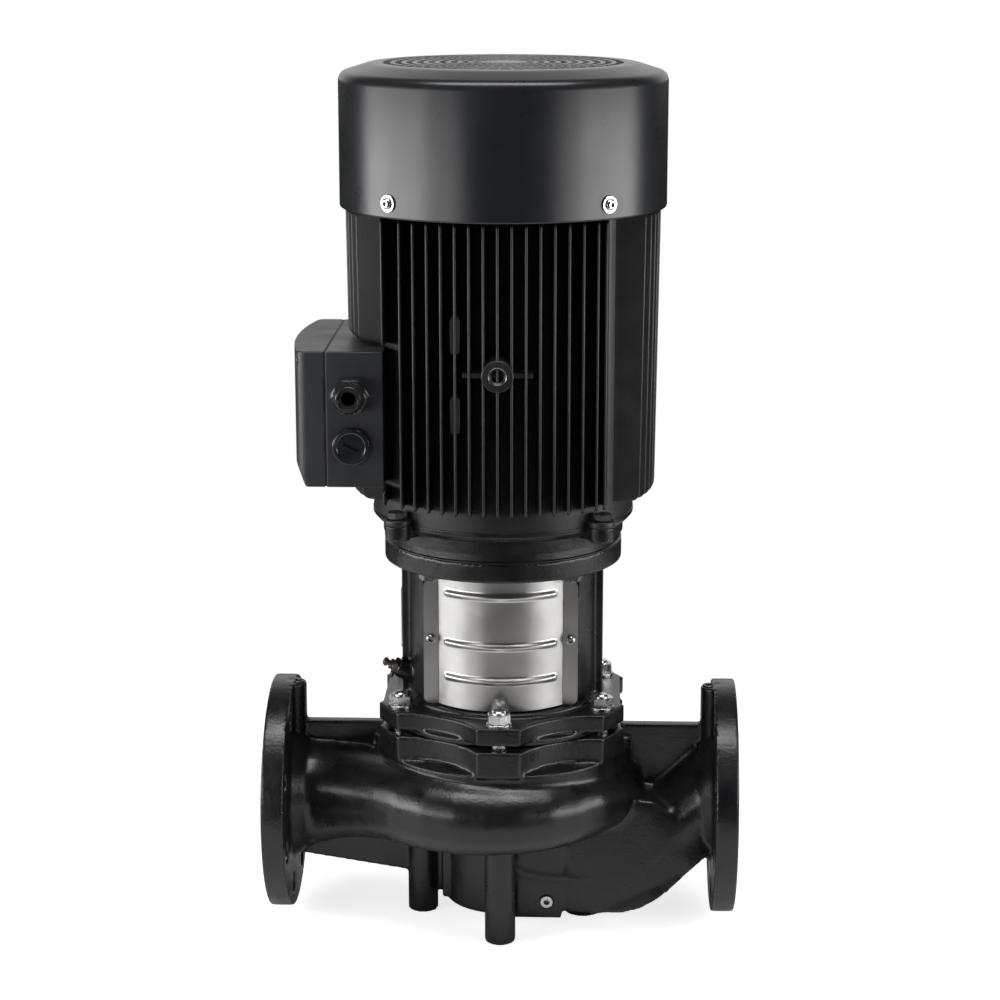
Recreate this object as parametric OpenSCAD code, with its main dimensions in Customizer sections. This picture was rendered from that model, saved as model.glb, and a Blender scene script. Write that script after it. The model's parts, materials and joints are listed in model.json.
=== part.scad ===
// In-line circulation pump: a cast scroll casing with two facing ports, a cast stool with its
// mechanical seal and clamp coupling, and a flange-mounted finned motor standing on top.
// Origin on the floor under the shaft axis, X along the pipe, Z up the shaft.

/* [Ports] */
// Distance between the two port faces
port_to_port = 400; // [380:5:440]
// Outer diameter of the port flanges
flange_d = 200; // [196:1:206]
// Thickness of a port flange rim
flange_t = 19; // [16:1:22]
// Diameter of the raised sealing face
face_d = 132; // [120:1:136]
// Height of the raised sealing face
face_h = 1; // [0.5:0.5:3]
// Diameter of the waterway at the ports
port_d = 80; // [76:1:84]
// Bolt circle diameter of the port flanges
port_pcd = 160; // [156:1:164]
// Number of bolts in each port flange
port_bolts = 8; // [4:4:8]
// Diameter of the port bolt holes
port_hole_d = 18; // [14:1:20]
// Wall of the pipe necks
pipe_wall = 11; // [9:0.5:13]
// Height of the pipe axis above the feet
axis_h = 108; // [106:1:114]
// Radius of the gauge tapping bosses
tap_boss_r = 11.5; // [10:0.5:13]
// Diameter of the gauge tappings
tap_d = 11.4; // [8:0.2:12.4]

/* [Scroll casing] */
// Radius of the circle that the scroll grows from
scroll_base_r = 74; // [73:0.5:76]
// Radius of the waterway where the scroll starts
scroll_start_r = 8; // [6:0.5:10]
// Radius of the waterway where the scroll ends
scroll_end_r = 26; // [23:0.5:27]
// Wall of the scroll
scroll_wall = 8.5; // [7:0.5:10]
// Height of the scroll's middle above the pipe axis
scroll_lift = 12.5; // [11:0.5:14]
// Height of the casing's top face above the pipe axis
neck_rise = 72.5; // [70:0.5:76]
// Outer radius of the casing's neck
neck_r = 97; // [96:0.5:99]
// Bore radius of the impeller chamber
chamber_r = 80; // [79:0.5:82]
// Bore radius of the register that centres the stool
register_r = 86; // [84:0.5:87]
// Depth of the register
register_depth = 12.5; // [10:0.5:15]
// Thickness of the casing's lobed flange
lobe_t = 21; // [18:0.5:23]
// Reach of each lobe's flat end from the shaft axis
lobe_reach = 109.5; // [108:0.5:112]
// Radius of the scoops between the lobes
scoop_r = 75; // [70:1:80]
// Distance from the shaft axis to the bottom of a scoop
scoop_in = 92.5; // [91:0.5:95]
// Radius of the ledge under the casing's lobed flange
ledge_r = 108.5; // [106:0.5:109]
// Radius of the stool's collar that stands on the casing
collar_r = 97.5; // [96:0.5:99]
// Thickness of the stiffening webs
web_t = 10; // [8:0.5:12]
// Radius of the mounting legs
leg_r = 13; // [12:0.5:15]
// Radius of the circle that the legs stand on
leg_circle_r = 70; // [68:1:73]
// Thread core diameter of the foot holes
foot_hole_d = 10.2; // [8:0.2:12]
// Depth of the foot holes
foot_hole_depth = 20; // [14:1:26]

/* [Stool] */
// Thickness of the stool's lobed flange
head_t = 15; // [13:0.5:18]
// Gap between the two lobed flanges
head_gap = 5.5; // [4:0.5:7]
// Bolt circle radius of the lobed flanges
head_bolt_r = 100.8; // [100:0.1:101.5]
// Height from the lobed flange to the motor flange
stool_h = 120.5; // [116:0.5:126]
// Outer radius of the stool's columns
column_r = 81; // [80:0.5:83]
// Inner radius of the stool's columns
column_in_r = 74; // [72:0.5:75]
// Half width of the columns, set by the two windows
column_half = 56; // [54:0.5:58]
// Reach of the column's outer rib
rib_reach = 85; // [84:0.5:87]
// Radius of the stool's motor flange
motor_flange_r = 100; // [98:0.5:103]
// Thickness of the stool's motor flange
motor_flange_t = 16.5; // [14:0.5:19]
// Bolt circle diameter of the motor flange
motor_pcd = 165; // [163:0.5:168]
// Radius of the motor's centring spigot
spigot_r = 65; // [63:0.5:67]

/* [Hydraulics] */
// Outer radius of the impeller
impeller_r = 71; // [68:0.5:72]
// Radius of the impeller's eye
eye_r = 40; // [38:0.5:41]
// Width of the impeller's outlet
outlet_w = 14; // [12:0.5:15]
// Thickness of the impeller's shrouds
shroud_t = 3.5; // [3:0.25:4]
// Number of impeller vanes
vane_count = 6; // [5:1:7]
// Thickness of a vane
vane_t = 3.2; // [2.5:0.1:4]
// Radius of the pump shaft
pump_shaft_r = 12; // [11:0.5:12.5]

/* [Coupling] */
// Outer radius of the clamp coupling
coupling_r = 36; // [34:0.5:40]
// Length of the clamp coupling
coupling_l = 74; // [68:1:76]
// Gap between the coupling's halves
coupling_split = 2; // [1:0.5:3]
// Thickness of the guard's sheet
guard_t = 1.2; // [1:0.1:1.5]
// How far the guard's curve stands out from the columns
guard_bulge = 24; // [22:0.5:26]
// Half width of the guard's curve
guard_half = 51.5; // [50:0.5:52.5]
// Radius of the guard's pressed beads
bead_r = 2.2; // [1.8:0.1:2.6]

/* [Motor] */
// Radius of the motor shaft's extension
motor_shaft_r = 19; // [17:0.5:19]
// Length of the motor shaft's extension
extension_l = 80; // [76:1:82]
// Height of the drive end shield
shield_h = 28; // [27:0.5:32]
// Height of the finned frame
frame_h = 256; // [246:1:266]
// Outer radius of the frame's barrel
barrel_r = 109; // [108:0.5:110]
// Wall of the frame's barrel
barrel_wall = 8; // [7:0.5:9]
// Reach of the cooling fins at the bottom
fin_reach_low = 127; // [125:0.5:128]
// Reach of the cooling fins at the top
fin_reach_high = 129.5; // [128:0.5:130.5]
// Distance between cooling fins
fin_pitch = 11.2; // [11:0.1:11.4]
// Thickness of a cooling fin
fin_t = 2.4; // [2:0.1:3]
// Height of the eyebolt boss above the motor's face
boss_rise = 159.5; // [150:0.5:170]
// Radius of the eyebolt boss
boss_r = 12.75; // [12:0.25:13.5]
// Thread core diameter of the eyebolt hole
eyebolt_d = 10.2; // [8.4:0.2:10.4]
// Depth of the eyebolt hole
eyebolt_depth = 14; // [12:0.5:16]
// Length of the stator's iron
core_l = 140; // [130:1:146]
// Radius of the rotor's iron
rotor_r = 64.4; // [63:0.1:64.6]

/* [Fan end] */
// Radius of the fan cover
cover_r = 134.3; // [133:0.1:136]
// Height of the fan cover
cover_h = 115.5; // [112:0.5:120]
// Height of the cover's bevelled shoulder
shoulder_h = 9.5; // [8:0.5:11]
// Radius of the cover's flat top
top_r = 105; // [103:0.5:108]
// Sheet thickness of the fan cover
cover_t = 2; // [1.6:0.1:2.4]
// Radius of the outermost ring of air slots
grille_r = 97; // [95:0.5:98]
// Width of an air slot
slot_w = 5; // [4:0.25:5.5]
// Distance between rings of air slots
slot_pitch = 9; // [8.5:0.25:10]
// Number of rings of air slots
slot_rings = 9; // [7:1:9]
// Number of blades on the cooling fan
blade_count = 8; // [6:1:10]
// Reach of the fan blades
blade_reach = 112; // [105:1:120]

/* [Terminal box] */
// Width of the terminal box along the front
box_w = 164; // [156:1:168]
// Height of the terminal box
box_h = 111.5; // [106:0.5:116]
// Distance from the shaft axis to the lid's joint
box_reach = 140; // [138:0.5:144]
// Depth of the terminal box lid
lid_d = 31; // [28:0.5:34]
// Height of the box above the motor's face
box_rise = 59; // [56:0.5:62]
// Wall of the terminal box
box_wall = 4; // [3:0.5:5]
// Radius of the cable gland's hexagon
gland_r = 16; // [15:0.5:17]
// Radius of the cable hole in the gland
cable_r = 6; // [5:0.5:7]
// Radius of the blanking plug's head
plug_r = 15.5; // [14:0.5:16.5]

/* [Fasteners] */
// Thread radius of the lobed flange bolts
head_bolt_shank_r = 6; // [5:0.5:6]
// Width across flats of the lobed flange bolts
head_bolt_af = 18; // [16:0.5:18]
// Head height of the lobed flange bolts
head_bolt_h = 10; // [8:0.5:11]
// Thread radius of the motor flange bolts
motor_bolt_r = 5; // [4:0.5:5]
// Width across flats of the motor flange bolts
motor_bolt_af = 16; // [15:0.5:17]
// Head height of the motor flange bolts
motor_bolt_h = 6.4; // [5.5:0.1:7]

/* [Hidden] */
$fn = 96;

cast_black = "#1d1e21";
satin_black = "#232429";
zinc = "#c9ccd0";
steel = "#a8abb0";
brass = "#b08d4a";
rubber = "#141414";

// Clearances
fit_gap = 0.05;
seat_gap = 0.15;
face_gap = 0.1;
run_gap = 0.3;
collar_gap = 0.6;
// Difference in drilling between the two ports' bolt holes
port_hole_step = 0.4;

// Levels up the shaft
scroll_z = axis_h + scroll_lift;
casing_top = axis_h + neck_rise;
head_z = casing_top + head_gap;
head_top = head_z + head_t;
stool_top = head_top + stool_h;
motor_face = stool_top + motor_flange_t;
frame_z = motor_face + shield_h;
frame_top = frame_z + frame_h;
cover_lap = 4;
cover_z = frame_top - cover_lap;
cover_top = cover_z + cover_h;
seat_z = casing_top - register_depth;
ledge_h = 12;
ledge_low = casing_top - lobe_t - 16;
gasket_t = 1;
cover_face_z = scroll_z + 13.5;
neck_x = port_to_port / 2 - face_h;
flange_in_x = neck_x - flange_t;
pipe_r = port_d / 2 + pipe_wall;
bore_lap = 4;
boss_x = flange_in_x + 1;
boss_top = axis_h + flange_d / 2 - 2;
well_r = eye_r + 9;
scroll_from = 160;
scroll_to = -132;
scroll_steps = 23;
bend_steps = 7;
bore_step = 0.8;
throat = 1;
neck_step = 6.5;
duct_steps = 12;
sweep_sides = 20;

// Motor levels
fin_z = frame_z + 15.5;
fin_top = frame_top - 6;
core_z = frame_z + 58;
shaft_top = cover_top - 20;
fan_z = frame_top + 44;

// Shapes used by several pieces

// One ring of points round c, square to a heading in the ground plane
function ring(c, heading, w, h) = [
    for (i = [0 : sweep_sides - 1])
        let (a = 360 * i / sweep_sides)
        c + w * cos(a) * [-sin(heading), cos(heading), 0] + [0, 0, h * sin(a)]
];

// A closed skin over a row of rings
module skin(rings) {
    n = sweep_sides;
    m = len(rings);
    polyhedron(
        points = [for (r = rings) for (p = r) p],
        faces = concat(
            [[for (i = [0 : n - 1]) i]],
            [[for (i = [n - 1 : -1 : 0]) (m - 1) * n + i]],
            [for (j = [0 : m - 2]) for (i = [0 : n - 1])
                [j * n + i, (j + 1) * n + i, (j + 1) * n + (i + 1) % n]],
            [for (j = [0 : m - 2]) for (i = [0 : n - 1])
                [j * n + i, (j + 1) * n + (i + 1) % n, j * n + (i + 1) % n]]
        )
    );
}

module tube(r_out, r_in, h) {
    difference() {
        cylinder(r = r_out, h = h);
        translate([0, 0, -1])
            cylinder(r = r_in, h = h + 2);
    }
}

module hex(af, h) {
    cylinder(r = af / 2 / cos(30), h = h, $fn = 6);
}

// A hexagon bolt with its head on z = 0 and its shank below
module hex_bolt(r, l, af, h) {
    intersection() {
        hex(af, h);
        cylinder(r1 = af * 0.62, r2 = af * 0.5, h = h);
    }
    translate([0, 0, -l])
        cylinder(r = r, h = l + 0.5);
}

// A pan head screw with its head on z = 0
module pan_screw(r, l, head_r, h) {
    difference() {
        intersection() {
            cylinder(r = head_r, h = h);
            translate([0, 0, h - head_r * 1.6])
                sphere(r = head_r * 1.6);
        }
        for (a = [0, 90])
            rotate([0, 0, a])
                translate([-head_r * 0.55, -head_r * 0.11, h * 0.45])
                    cube([head_r * 1.1, head_r * 0.22, h]);
    }
    translate([0, 0, -l])
        cylinder(r = r, h = l + h * 0.3);
}

module each_head_bolt() {
    for (a = [30 : 60 : 330])
        rotate([0, 0, a])
            translate([head_bolt_r, 0, 0])
                children();
}

module each_corner(r) {
    for (a = [45 : 90 : 315])
        rotate([0, 0, a])
            translate([r, 0, 0])
                rotate([0, 0, -a])
                    children();
}

// Plate with six flat-ended lobes and a round scoop between each pair
module lobed_plate(h) {
    difference() {
        cylinder(r = lobe_reach / cos(30), h = h, $fn = 6);
        for (a = [0 : 60 : 300])
            rotate([0, 0, a])
                translate([scoop_in + scoop_r, 0, -1])
                    cylinder(r = scoop_r, h = h + 2);
    }
}

// Scroll casing

function scroll_t(i) = i / scroll_steps;
function scroll_angle(t) = scroll_from + (scroll_to - scroll_from) * t;
function scroll_r(t) = scroll_start_r + (scroll_end_r - scroll_start_r) * t;
function scroll_mid(t) = scroll_base_r + scroll_r(t);
function scroll_point(t) = [
    scroll_mid(t) * cos(scroll_angle(t)), scroll_mid(t) * sin(scroll_angle(t)), scroll_z
];
function mix(a, b, t) = a + (b - a) * t;
bend_p = [
    scroll_point(1),
    scroll_point(1) + 42 * [cos(scroll_to - 90), sin(scroll_to - 90), 0],
    [-flange_in_x + 40, 0, axis_h],
    [-flange_in_x + bore_lap, 0, axis_h]
];
function bend_at(t) = pow(1 - t, 3) * bend_p[0] + 3 * t * pow(1 - t, 2) * bend_p[1]
    + 3 * t * t * (1 - t) * bend_p[2] + pow(t, 3) * bend_p[3];
function bend_dir(t) = (bend_at(t + 0.01) - bend_at(t - 0.01)) / 0.02;
function bend_heading(t) = atan2(bend_dir(t)[1], bend_dir(t)[0]);

function scroll_rings(wall) = concat(
    [for (i = [0 : scroll_steps])
        let (t = scroll_t(i), r = scroll_r(t) + wall)
        ring(scroll_point(t), scroll_angle(t) - 90, r, r)],
    [for (i = [1 : bend_steps])
        let (
            t = i / bend_steps,
            pipe = port_d / 2 + (wall > 0 ? pipe_wall : bore_step),
            r = mix(scroll_end_r + wall, pipe, pow(t, 2))
        )
        ring(bend_at(t), t < 1 ? bend_heading(t) : 180, r, r)]
);

// Suction duct: dives from the port under the scroll to the eye
duct_from = flange_in_x - bore_lap;
duct_low = 80;
duct_bowl = 50;
well_floor = 14;
function duct_s(x) = x > duct_low ? (duct_from - x) / (duct_from - duct_low) : 1;
function duct_drop(x) = sin(90 * pow(duct_s(x), 1.1));
function duct_h(x) = pipe_r - 5 * duct_drop(x);
function duct_rise(x) = x < duct_bowl ? (well_floor - 2) * pow(1 - x / duct_bowl, 2) : 0;
function duct_floor(x) = mix(axis_h - pipe_r, 2, duct_drop(x)) + duct_rise(x);
function duct_rings(wall) = [
    for (i = [0 : duct_steps])
        let (
            x = duct_from * (1 - i / duct_steps),
            h = duct_h(x)
        )
        ring([x, 0, duct_floor(x) + h], 180, pipe_r - wall, h - wall)
];

module port_flange() {
    rotate([0, 90, 0]) {
        cylinder(r = flange_d / 2, h = flange_t);
        translate([0, 0, flange_t - 1])
            cylinder(r = face_d / 2, h = face_h + 1);
        translate([0, 0, -12])
            cylinder(r1 = pipe_r - 2, r2 = pipe_r + 8, h = 13);
    }
}

module port_cuts(hole_d) {
    rotate([0, 90, 0]) {
        translate([0, 0, -8])
            cylinder(r = port_d / 2, h = flange_t + face_h + 9);
        for (i = [0 : port_bolts - 1])
            rotate([0, 0, 360 * (i + 0.5) / port_bolts])
                translate([port_pcd / 2, 0, -14])
                    cylinder(d = hole_d, h = flange_t + face_h + 16);
    }
}

module tap_boss() {
    translate([boss_x, 0, axis_h + pipe_r - 6])
        cylinder(r = tap_boss_r, h = boss_top - axis_h - pipe_r + 6);
}

module tap_hole() {
    translate([boss_x, 0, boss_top - 16])
        cylinder(d = tap_d, h = 17);
}

drain_x = 39;
drain_z = 26.5;
drain_r = 5.2;
pad_x = 12;
pad_w = 40;
pad_y = well_r + 1;

module pump_housing() {
    color(cast_black)
        difference() {
            union() {
                skin(scroll_rings(scroll_wall));
                skin(duct_rings(0));
                translate([0, 0, 90])
                    cylinder(r = neck_r - neck_step, h = scroll_z - 90);
                translate([0, 0, scroll_z - 1])
                    cylinder(r = neck_r, h = casing_top - lobe_t - scroll_z + 2);
                translate([0, 0, ledge_low - ledge_h])
                    cylinder(r1 = neck_r, r2 = ledge_r - 0.5, h = ledge_h + 1);
                translate([0, 0, ledge_low])
                    cylinder(r = ledge_r, h = casing_top - lobe_t - ledge_low);
                translate([0, 0, casing_top - lobe_t - 1])
                    lobed_plate(lobe_t + 1);
                translate([0, 0, well_floor])
                    cylinder(r = well_r, h = scroll_z - well_floor - 18);
                for (a = [0, 180])
                    rotate([0, 0, a]) {
                        translate([flange_in_x, 0, axis_h])
                            port_flange();
                        tap_boss();
                        web_low = axis_h + (a > 0 ? 20 : -30);
                        translate([neck_r - 12, -web_t / 2, web_low])
                            cube([boss_x - neck_r + 12, web_t, axis_h + neck_rise - 8 - web_low]);
                    }
                // Foot webs and legs
                lower_web();
                for (a = [90, 180, 270])
                    rotate([0, 0, a])
                        translate([leg_circle_r, 0, 0])
                            cylinder(r = leg_r, h = 100);
                translate([leg_circle_r, 0, 0])
                    cylinder(r = leg_r + 4, h = 8);
                for (a = [90, 180, 270])
                    rotate([0, 0, a])
                        translate([well_r - 8, -web_t / 2, well_floor + 4])
                            cube([leg_circle_r - well_r, web_t, 78]);
                translate([pad_x, -pad_y, 12])
                    cube([pad_w, pad_y, 84]);
            }
            skin(scroll_rings(0));
            skin(duct_rings(9));
            translate([0, 0, well_floor + 9])
                cylinder(r = eye_r, h = scroll_z - well_floor - 10);
            translate([0, 0, wear_z])
                cylinder(r = wear_r, h = 40);
            translate([0, 0, scroll_z - 14.5])
                cylinder(r = scroll_base_r + throat, h = 40);
            translate([0, 0, cover_face_z])
                cylinder(r = chamber_r, h = 60);
            translate([0, 0, seat_z])
                cylinder(r = register_r, h = register_depth + 1);
            for (a = [0, 180])
                rotate([0, 0, a]) {
                    translate([flange_in_x, 0, axis_h])
                        port_cuts(port_hole_d + (a > 0 ? port_hole_step : 0));
                    tap_hole();
                }
            translate([0, 0, casing_top - 17])
                each_head_bolt()
                    cylinder(r = head_bolt_shank_r + fit_gap, h = 18);
            for (a = [0 : 90 : 270])
                rotate([0, 0, a])
                    translate([leg_circle_r, 0, -1])
                        cylinder(d = foot_hole_d, h = foot_hole_depth + 1);
            translate([drain_x, -pad_y - 1, drain_z])
                rotate([-90, 0, 0])
                    cylinder(r = drain_r, h = 14);
        }
}

// Web from the left port down to the left leg
module lower_web() {
    translate([0, web_t / 2, 0])
        rotate([90, 0, 0])
            linear_extrude(web_t)
                polygon([
                    [-flange_in_x + 5, axis_h - 57], [-leg_circle_r - 10, axis_h - 72],
                    [-leg_circle_r + 10, axis_h - 72], [-leg_circle_r + 10, axis_h - 5],
                    [-flange_in_x + 5, axis_h - 5]
                ]);
}

wear_r = 49.5;
wear_z = scroll_z - 28.5;

module wear_ring() {
    color(brass)
        translate([0, 0, wear_z])
            tube(wear_r - fit_gap, eye_r + 4 + run_gap, 12);
}

plug_l = 9;

module hex_socket_plug(r, l, socket) {
    difference() {
        translate([0, 0, -l])
            cylinder(r = r, h = l);
        translate([0, 0, -l * 0.6])
            cylinder(r = socket, h = l, $fn = 6);
    }
}

module drain_plug() {
    color(zinc)
        translate([drain_x, -pad_y - 0.5, drain_z])
            rotate([90, 0, 0])
                hex_socket_plug(drain_r - fit_gap, plug_l, drain_r * 0.55);
}

module tapping_plugs() {
    color(zinc)
        for (a = [0, 180])
            rotate([0, 0, a])
                translate([boss_x, 0, boss_top - 0.5])
                    hex_socket_plug(tap_d / 2 - fit_gap, plug_l, tap_d * 0.28);
}

// Impeller and pump shaft
hub_z = scroll_z - 6;
hub_r = 17;
hub_rise = 19.5;
hub_top = scroll_z + hub_rise;
vane_in_r = 27;
flare_h = 9;
skirt_l = 15;
vane_z = scroll_z - outlet_w / 2;
key_w = 6;

module impeller_vane() {
    bow_r = 46;
    bow_x = 33;
    intersection() {
        translate([bow_x, 0, vane_z - 0.5])
            tube(bow_r, bow_r - vane_t, outlet_w + 1);
        translate([0, 0, vane_z - 1])
            tube(impeller_r - 0.5, vane_in_r, outlet_w + 2);
        translate([-impeller_r, 0, vane_z - 1])
            cube([2 * impeller_r, impeller_r, outlet_w + 2]);
    }
}

module impeller() {
    color(brass)
        difference() {
            union() {
                translate([0, 0, vane_z + outlet_w])
                    cylinder(r = impeller_r, h = shroud_t);
                translate([0, 0, vane_z - shroud_t])
                    tube(impeller_r, eye_r, shroud_t);
                translate([0, 0, vane_z - shroud_t - skirt_l])
                    tube(eye_r + 4, eye_r, skirt_l + 1);
                translate([0, 0, hub_z])
                    cylinder(r = hub_r, h = hub_top - hub_z);
                translate([0, 0, vane_z + outlet_w - flare_h])
                    cylinder(r1 = hub_r - 0.5, r2 = vane_in_r, h = flare_h + 0.5);
                for (i = [0 : vane_count - 1])
                    rotate([0, 0, 360 * i / vane_count])
                        impeller_vane();
            }
            translate([0, 0, hub_z - 1])
                cylinder(r = pump_shaft_r + fit_gap, h = hub_top - hub_z + 2);
            translate([0, -key_w / 2 - fit_gap, hub_z - 1])
                cube([pump_shaft_r + 3, key_w + 2 * fit_gap, hub_top - hub_z + 2]);
        }
}

washer_t = 2.5;
nut_h = 12;
shaft_low = hub_z - washer_t - nut_h - 2;
nut_r = pump_shaft_r - 2;

module impeller_washer() {
    color(steel)
        translate([0, 0, hub_z - washer_t])
            tube(hub_r, nut_r + fit_gap, washer_t);
}

module impeller_nut() {
    color(steel)
        translate([0, 0, hub_z - washer_t - nut_h])
            difference() {
                hex(nut_r * 3, nut_h);
                translate([0, 0, -1])
                    cylinder(r = nut_r + fit_gap, h = nut_h + 2);
            }
}

module impeller_key() {
    color(steel)
        translate([pump_shaft_r - 3, -key_w / 2, hub_z + 2])
            cube([6 - 2 * fit_gap, key_w, hub_top - hub_z - 4]);
}

coupling_mid = (head_top + stool_top) / 2;
coupling_low = coupling_mid - coupling_l / 2;
extension_z = motor_face - extension_l;
pump_shaft_top = extension_z - 6;

module pump_shaft() {
    color(steel)
        difference() {
            union() {
                translate([0, 0, shaft_low])
                    cylinder(r = nut_r, h = pump_shaft_top - shaft_low);
                translate([0, 0, hub_z])
                    cylinder(r = pump_shaft_r, h = coupling_low - 6 - hub_z);
                translate([0, 0, coupling_low - 6])
                    cylinder(r = pump_shaft_r + 2, h = pump_shaft_top - coupling_low + 6);
            }
            translate([pump_shaft_r - 3 - fit_gap, -key_w / 2 - fit_gap, hub_z + 2 - fit_gap])
                cube([6, key_w + 2 * fit_gap, hub_top - hub_z - 4 + 2 * fit_gap]);
            translate([0, 0, pin_z])
                rotate([0, 90, 0])
                    cylinder(r = pin_r + fit_gap, h = 4 * pump_shaft_r, center = true);
        }
}

// Mechanical seal
seal_z = hub_top;
seal_top = seal_z + 26;
seal_chamber_r = 25;
seat_r = 20;
seat_l = 10;

module seal_rotor() {
    color(steel)
        difference() {
            union() {
                translate([0, 0, seal_z])
                    cylinder(r = pump_shaft_r + 7, h = 4);
                translate([0, 0, seal_z + 3.5])
                    cylinder(r = pump_shaft_r + 4, h = 10);
                translate([0, 0, seal_z + 13])
                    cylinder(r = pump_shaft_r + 7.5, h = 8);
            }
            translate([0, 0, seal_z - 1])
                cylinder(r = pump_shaft_r + fit_gap, h = 40);
            translate([0, 0, seal_z + 17])
                cylinder(r = pump_shaft_r + 5.5, h = 5);
        }
}

module seal_face() {
    color(rubber)
        translate([0, 0, seal_z + 17])
            tube(pump_shaft_r + 5.5 - fit_gap, pump_shaft_r + fit_gap, seal_top - seal_z - 17 - face_gap);
}

module seal_seat() {
    color("#5b4a40")
        translate([0, 0, seal_top])
            tube(seat_r - fit_gap, pump_shaft_r + 1, seat_l);
}

module head_gasket() {
    color(rubber)
        translate([0, 0, seat_z])
            tube(register_r - seat_gap, chamber_r + seat_gap, gasket_t);
}

// Stool
boss_out_r = 33;
cup_r = 66;
cup_floor = 12;
vent_z = head_top + 25;
vent_y = -24;
pocket_r = motor_bolt_af * 0.75;

module stool_columns() {
    difference() {
        union() {
            translate([0, 0, head_top - 2])
                cylinder(r = column_r, h = stool_h + 3);
            translate([-rib_reach, -21, head_top - 2])
                cube([2 * rib_reach, 42, stool_h + 3]);
        }
        translate([0, 0, head_top - 3])
            cylinder(r = column_in_r, h = stool_h + 5);
        for (s = [-1, 1])
            translate([-100, s * (column_half + 50) - 50, head_top - 3])
                cube([200, 100, stool_h + 5]);
        each_corner(motor_pcd / 2)
            translate([0, 0, stool_top - 26])
                cylinder(r = pocket_r, h = 40);
    }
}

module motor_stool() {
    color(cast_black)
        difference() {
            union() {
                translate([0, 0, head_z])
                    lobed_plate(head_t);
                translate([0, 0, casing_top + collar_gap])
                    cylinder(r = collar_r, h = head_gap);
                translate([0, 0, seat_z + gasket_t])
                    cylinder(r = register_r - seat_gap, h = head_z - seat_z);
                translate([0, 0, cover_face_z])
                    cylinder(r = chamber_r - seat_gap, h = head_z - cover_face_z);
                stool_columns();
                translate([0, 0, stool_top])
                    cylinder(r = motor_flange_r, h = motor_flange_t);
                translate([0, 0, head_top - 3])
                    tube(column_r + 3, column_in_r - 3, 7);
                at_vent()
                    translate([0, 0, -vent_boss_l])
                        cylinder(r = vent_boss_r, h = vent_boss_l + vent_rise);
            }
            difference() {
                translate([0, 0, cover_face_z + cup_floor])
                    cylinder(r = cup_r, h = head_top - cover_face_z);
                cylinder(r = boss_out_r, h = seal_top + seat_l + 6);
            }
            translate([0, 0, cover_face_z - 1])
                cylinder(r = seal_chamber_r, h = seal_top - cover_face_z + 1);
            translate([0, 0, seal_top - 1])
                cylinder(r = seat_r, h = seat_l + 1);
            translate([0, 0, seal_top])
                cylinder(r = pump_shaft_r + 1.5, h = 40);
            translate([0, 0, stool_top - 1])
                cylinder(r = spigot_r + seat_gap, h = motor_flange_t + 2);
            translate([0, 0, casing_top])
                each_head_bolt()
                    cylinder(r = head_bolt_shank_r + 0.6, h = head_gap + head_t + 1);
            translate([0, 0, stool_top - 1])
                each_corner(motor_pcd / 2)
                    cylinder(r = motor_bolt_r + 0.5, h = motor_flange_t + 2);
            at_vent()
                translate([0, 0, -8])
                    cylinder(r = vent_thread_r + fit_gap, h = 9 + vent_rise);
            for (s = [-1, 1])
                for (x = [-1, 1])
                    translate([x * guard_screw_x, s * (column_half + 1), guard_mid])
                        rotate([s * 90, 0, 0])
                            cylinder(r = guard_screw_r + fit_gap, h = 10);
        }
}

module head_bolts() {
    color(zinc)
        translate([0, 0, head_top + washer_t])
            each_head_bolt()
                rotate([0, 0, 30])
                    hex_bolt(head_bolt_shank_r, head_t + head_gap + 15, head_bolt_af, head_bolt_h);
}

module head_washers() {
    color(zinc)
        translate([0, 0, head_top])
            each_head_bolt()
                tube(head_bolt_shank_r * 1.85, head_bolt_shank_r + 0.3, washer_t);
}

// Air vent on the stool's left column
vent_thread_r = 4;
vent_tilt = 24;
vent_boss_r = 8;
vent_boss_l = 10;
vent_rise = 4;

module at_vent() {
    translate([-rib_reach, vent_y, vent_z])
        rotate([0, vent_tilt - 90, 0])
            children();
}

module vent_body() {
    color(brass)
        at_vent()
            translate([0, 0, vent_rise])
                difference() {
                    union() {
                        translate([0, 0, -11])
                            cylinder(r = vent_thread_r, h = 12);
                        hex(13, 4);
                        translate([0, 0, 3.5])
                            cylinder(r = 4.4, h = 4);
                        translate([0, 0, 2])
                            rotate([0, -90, 0])
                                cylinder(r = 1.8, h = 11);
                    }
                    translate([0, 0, 2])
                        cylinder(r = vent_stem_r + fit_gap, h = 7);
                }
}

vent_stem_r = 2.5;

module vent_screw() {
    color(steel)
        at_vent() {
            translate([0, 0, vent_rise + 3])
                cylinder(r = vent_stem_r, h = 10.5);
            translate([0, 0, 15])
                rotate([90, 0, 0])
                    cylinder(r = 1.9, h = 15, center = true);
        }
}

// Bare rating plate on the left column
module nameplate() {
    color(steel)
        translate([-rib_reach - 0.8, -18, head_top + 42])
            cube([0.8, 36, 52]);
}

// Clamp coupling
pin_r = 3;
pin_z = coupling_low + 12;
clamp_screw_r = 4;
clamp_in = 12;
clamp_seat = 17;
clamp_head_h = 7;
clamp_screw_l = 37;
clamp_x = (coupling_r + motor_shaft_r) / 2 + 0.5;

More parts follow.
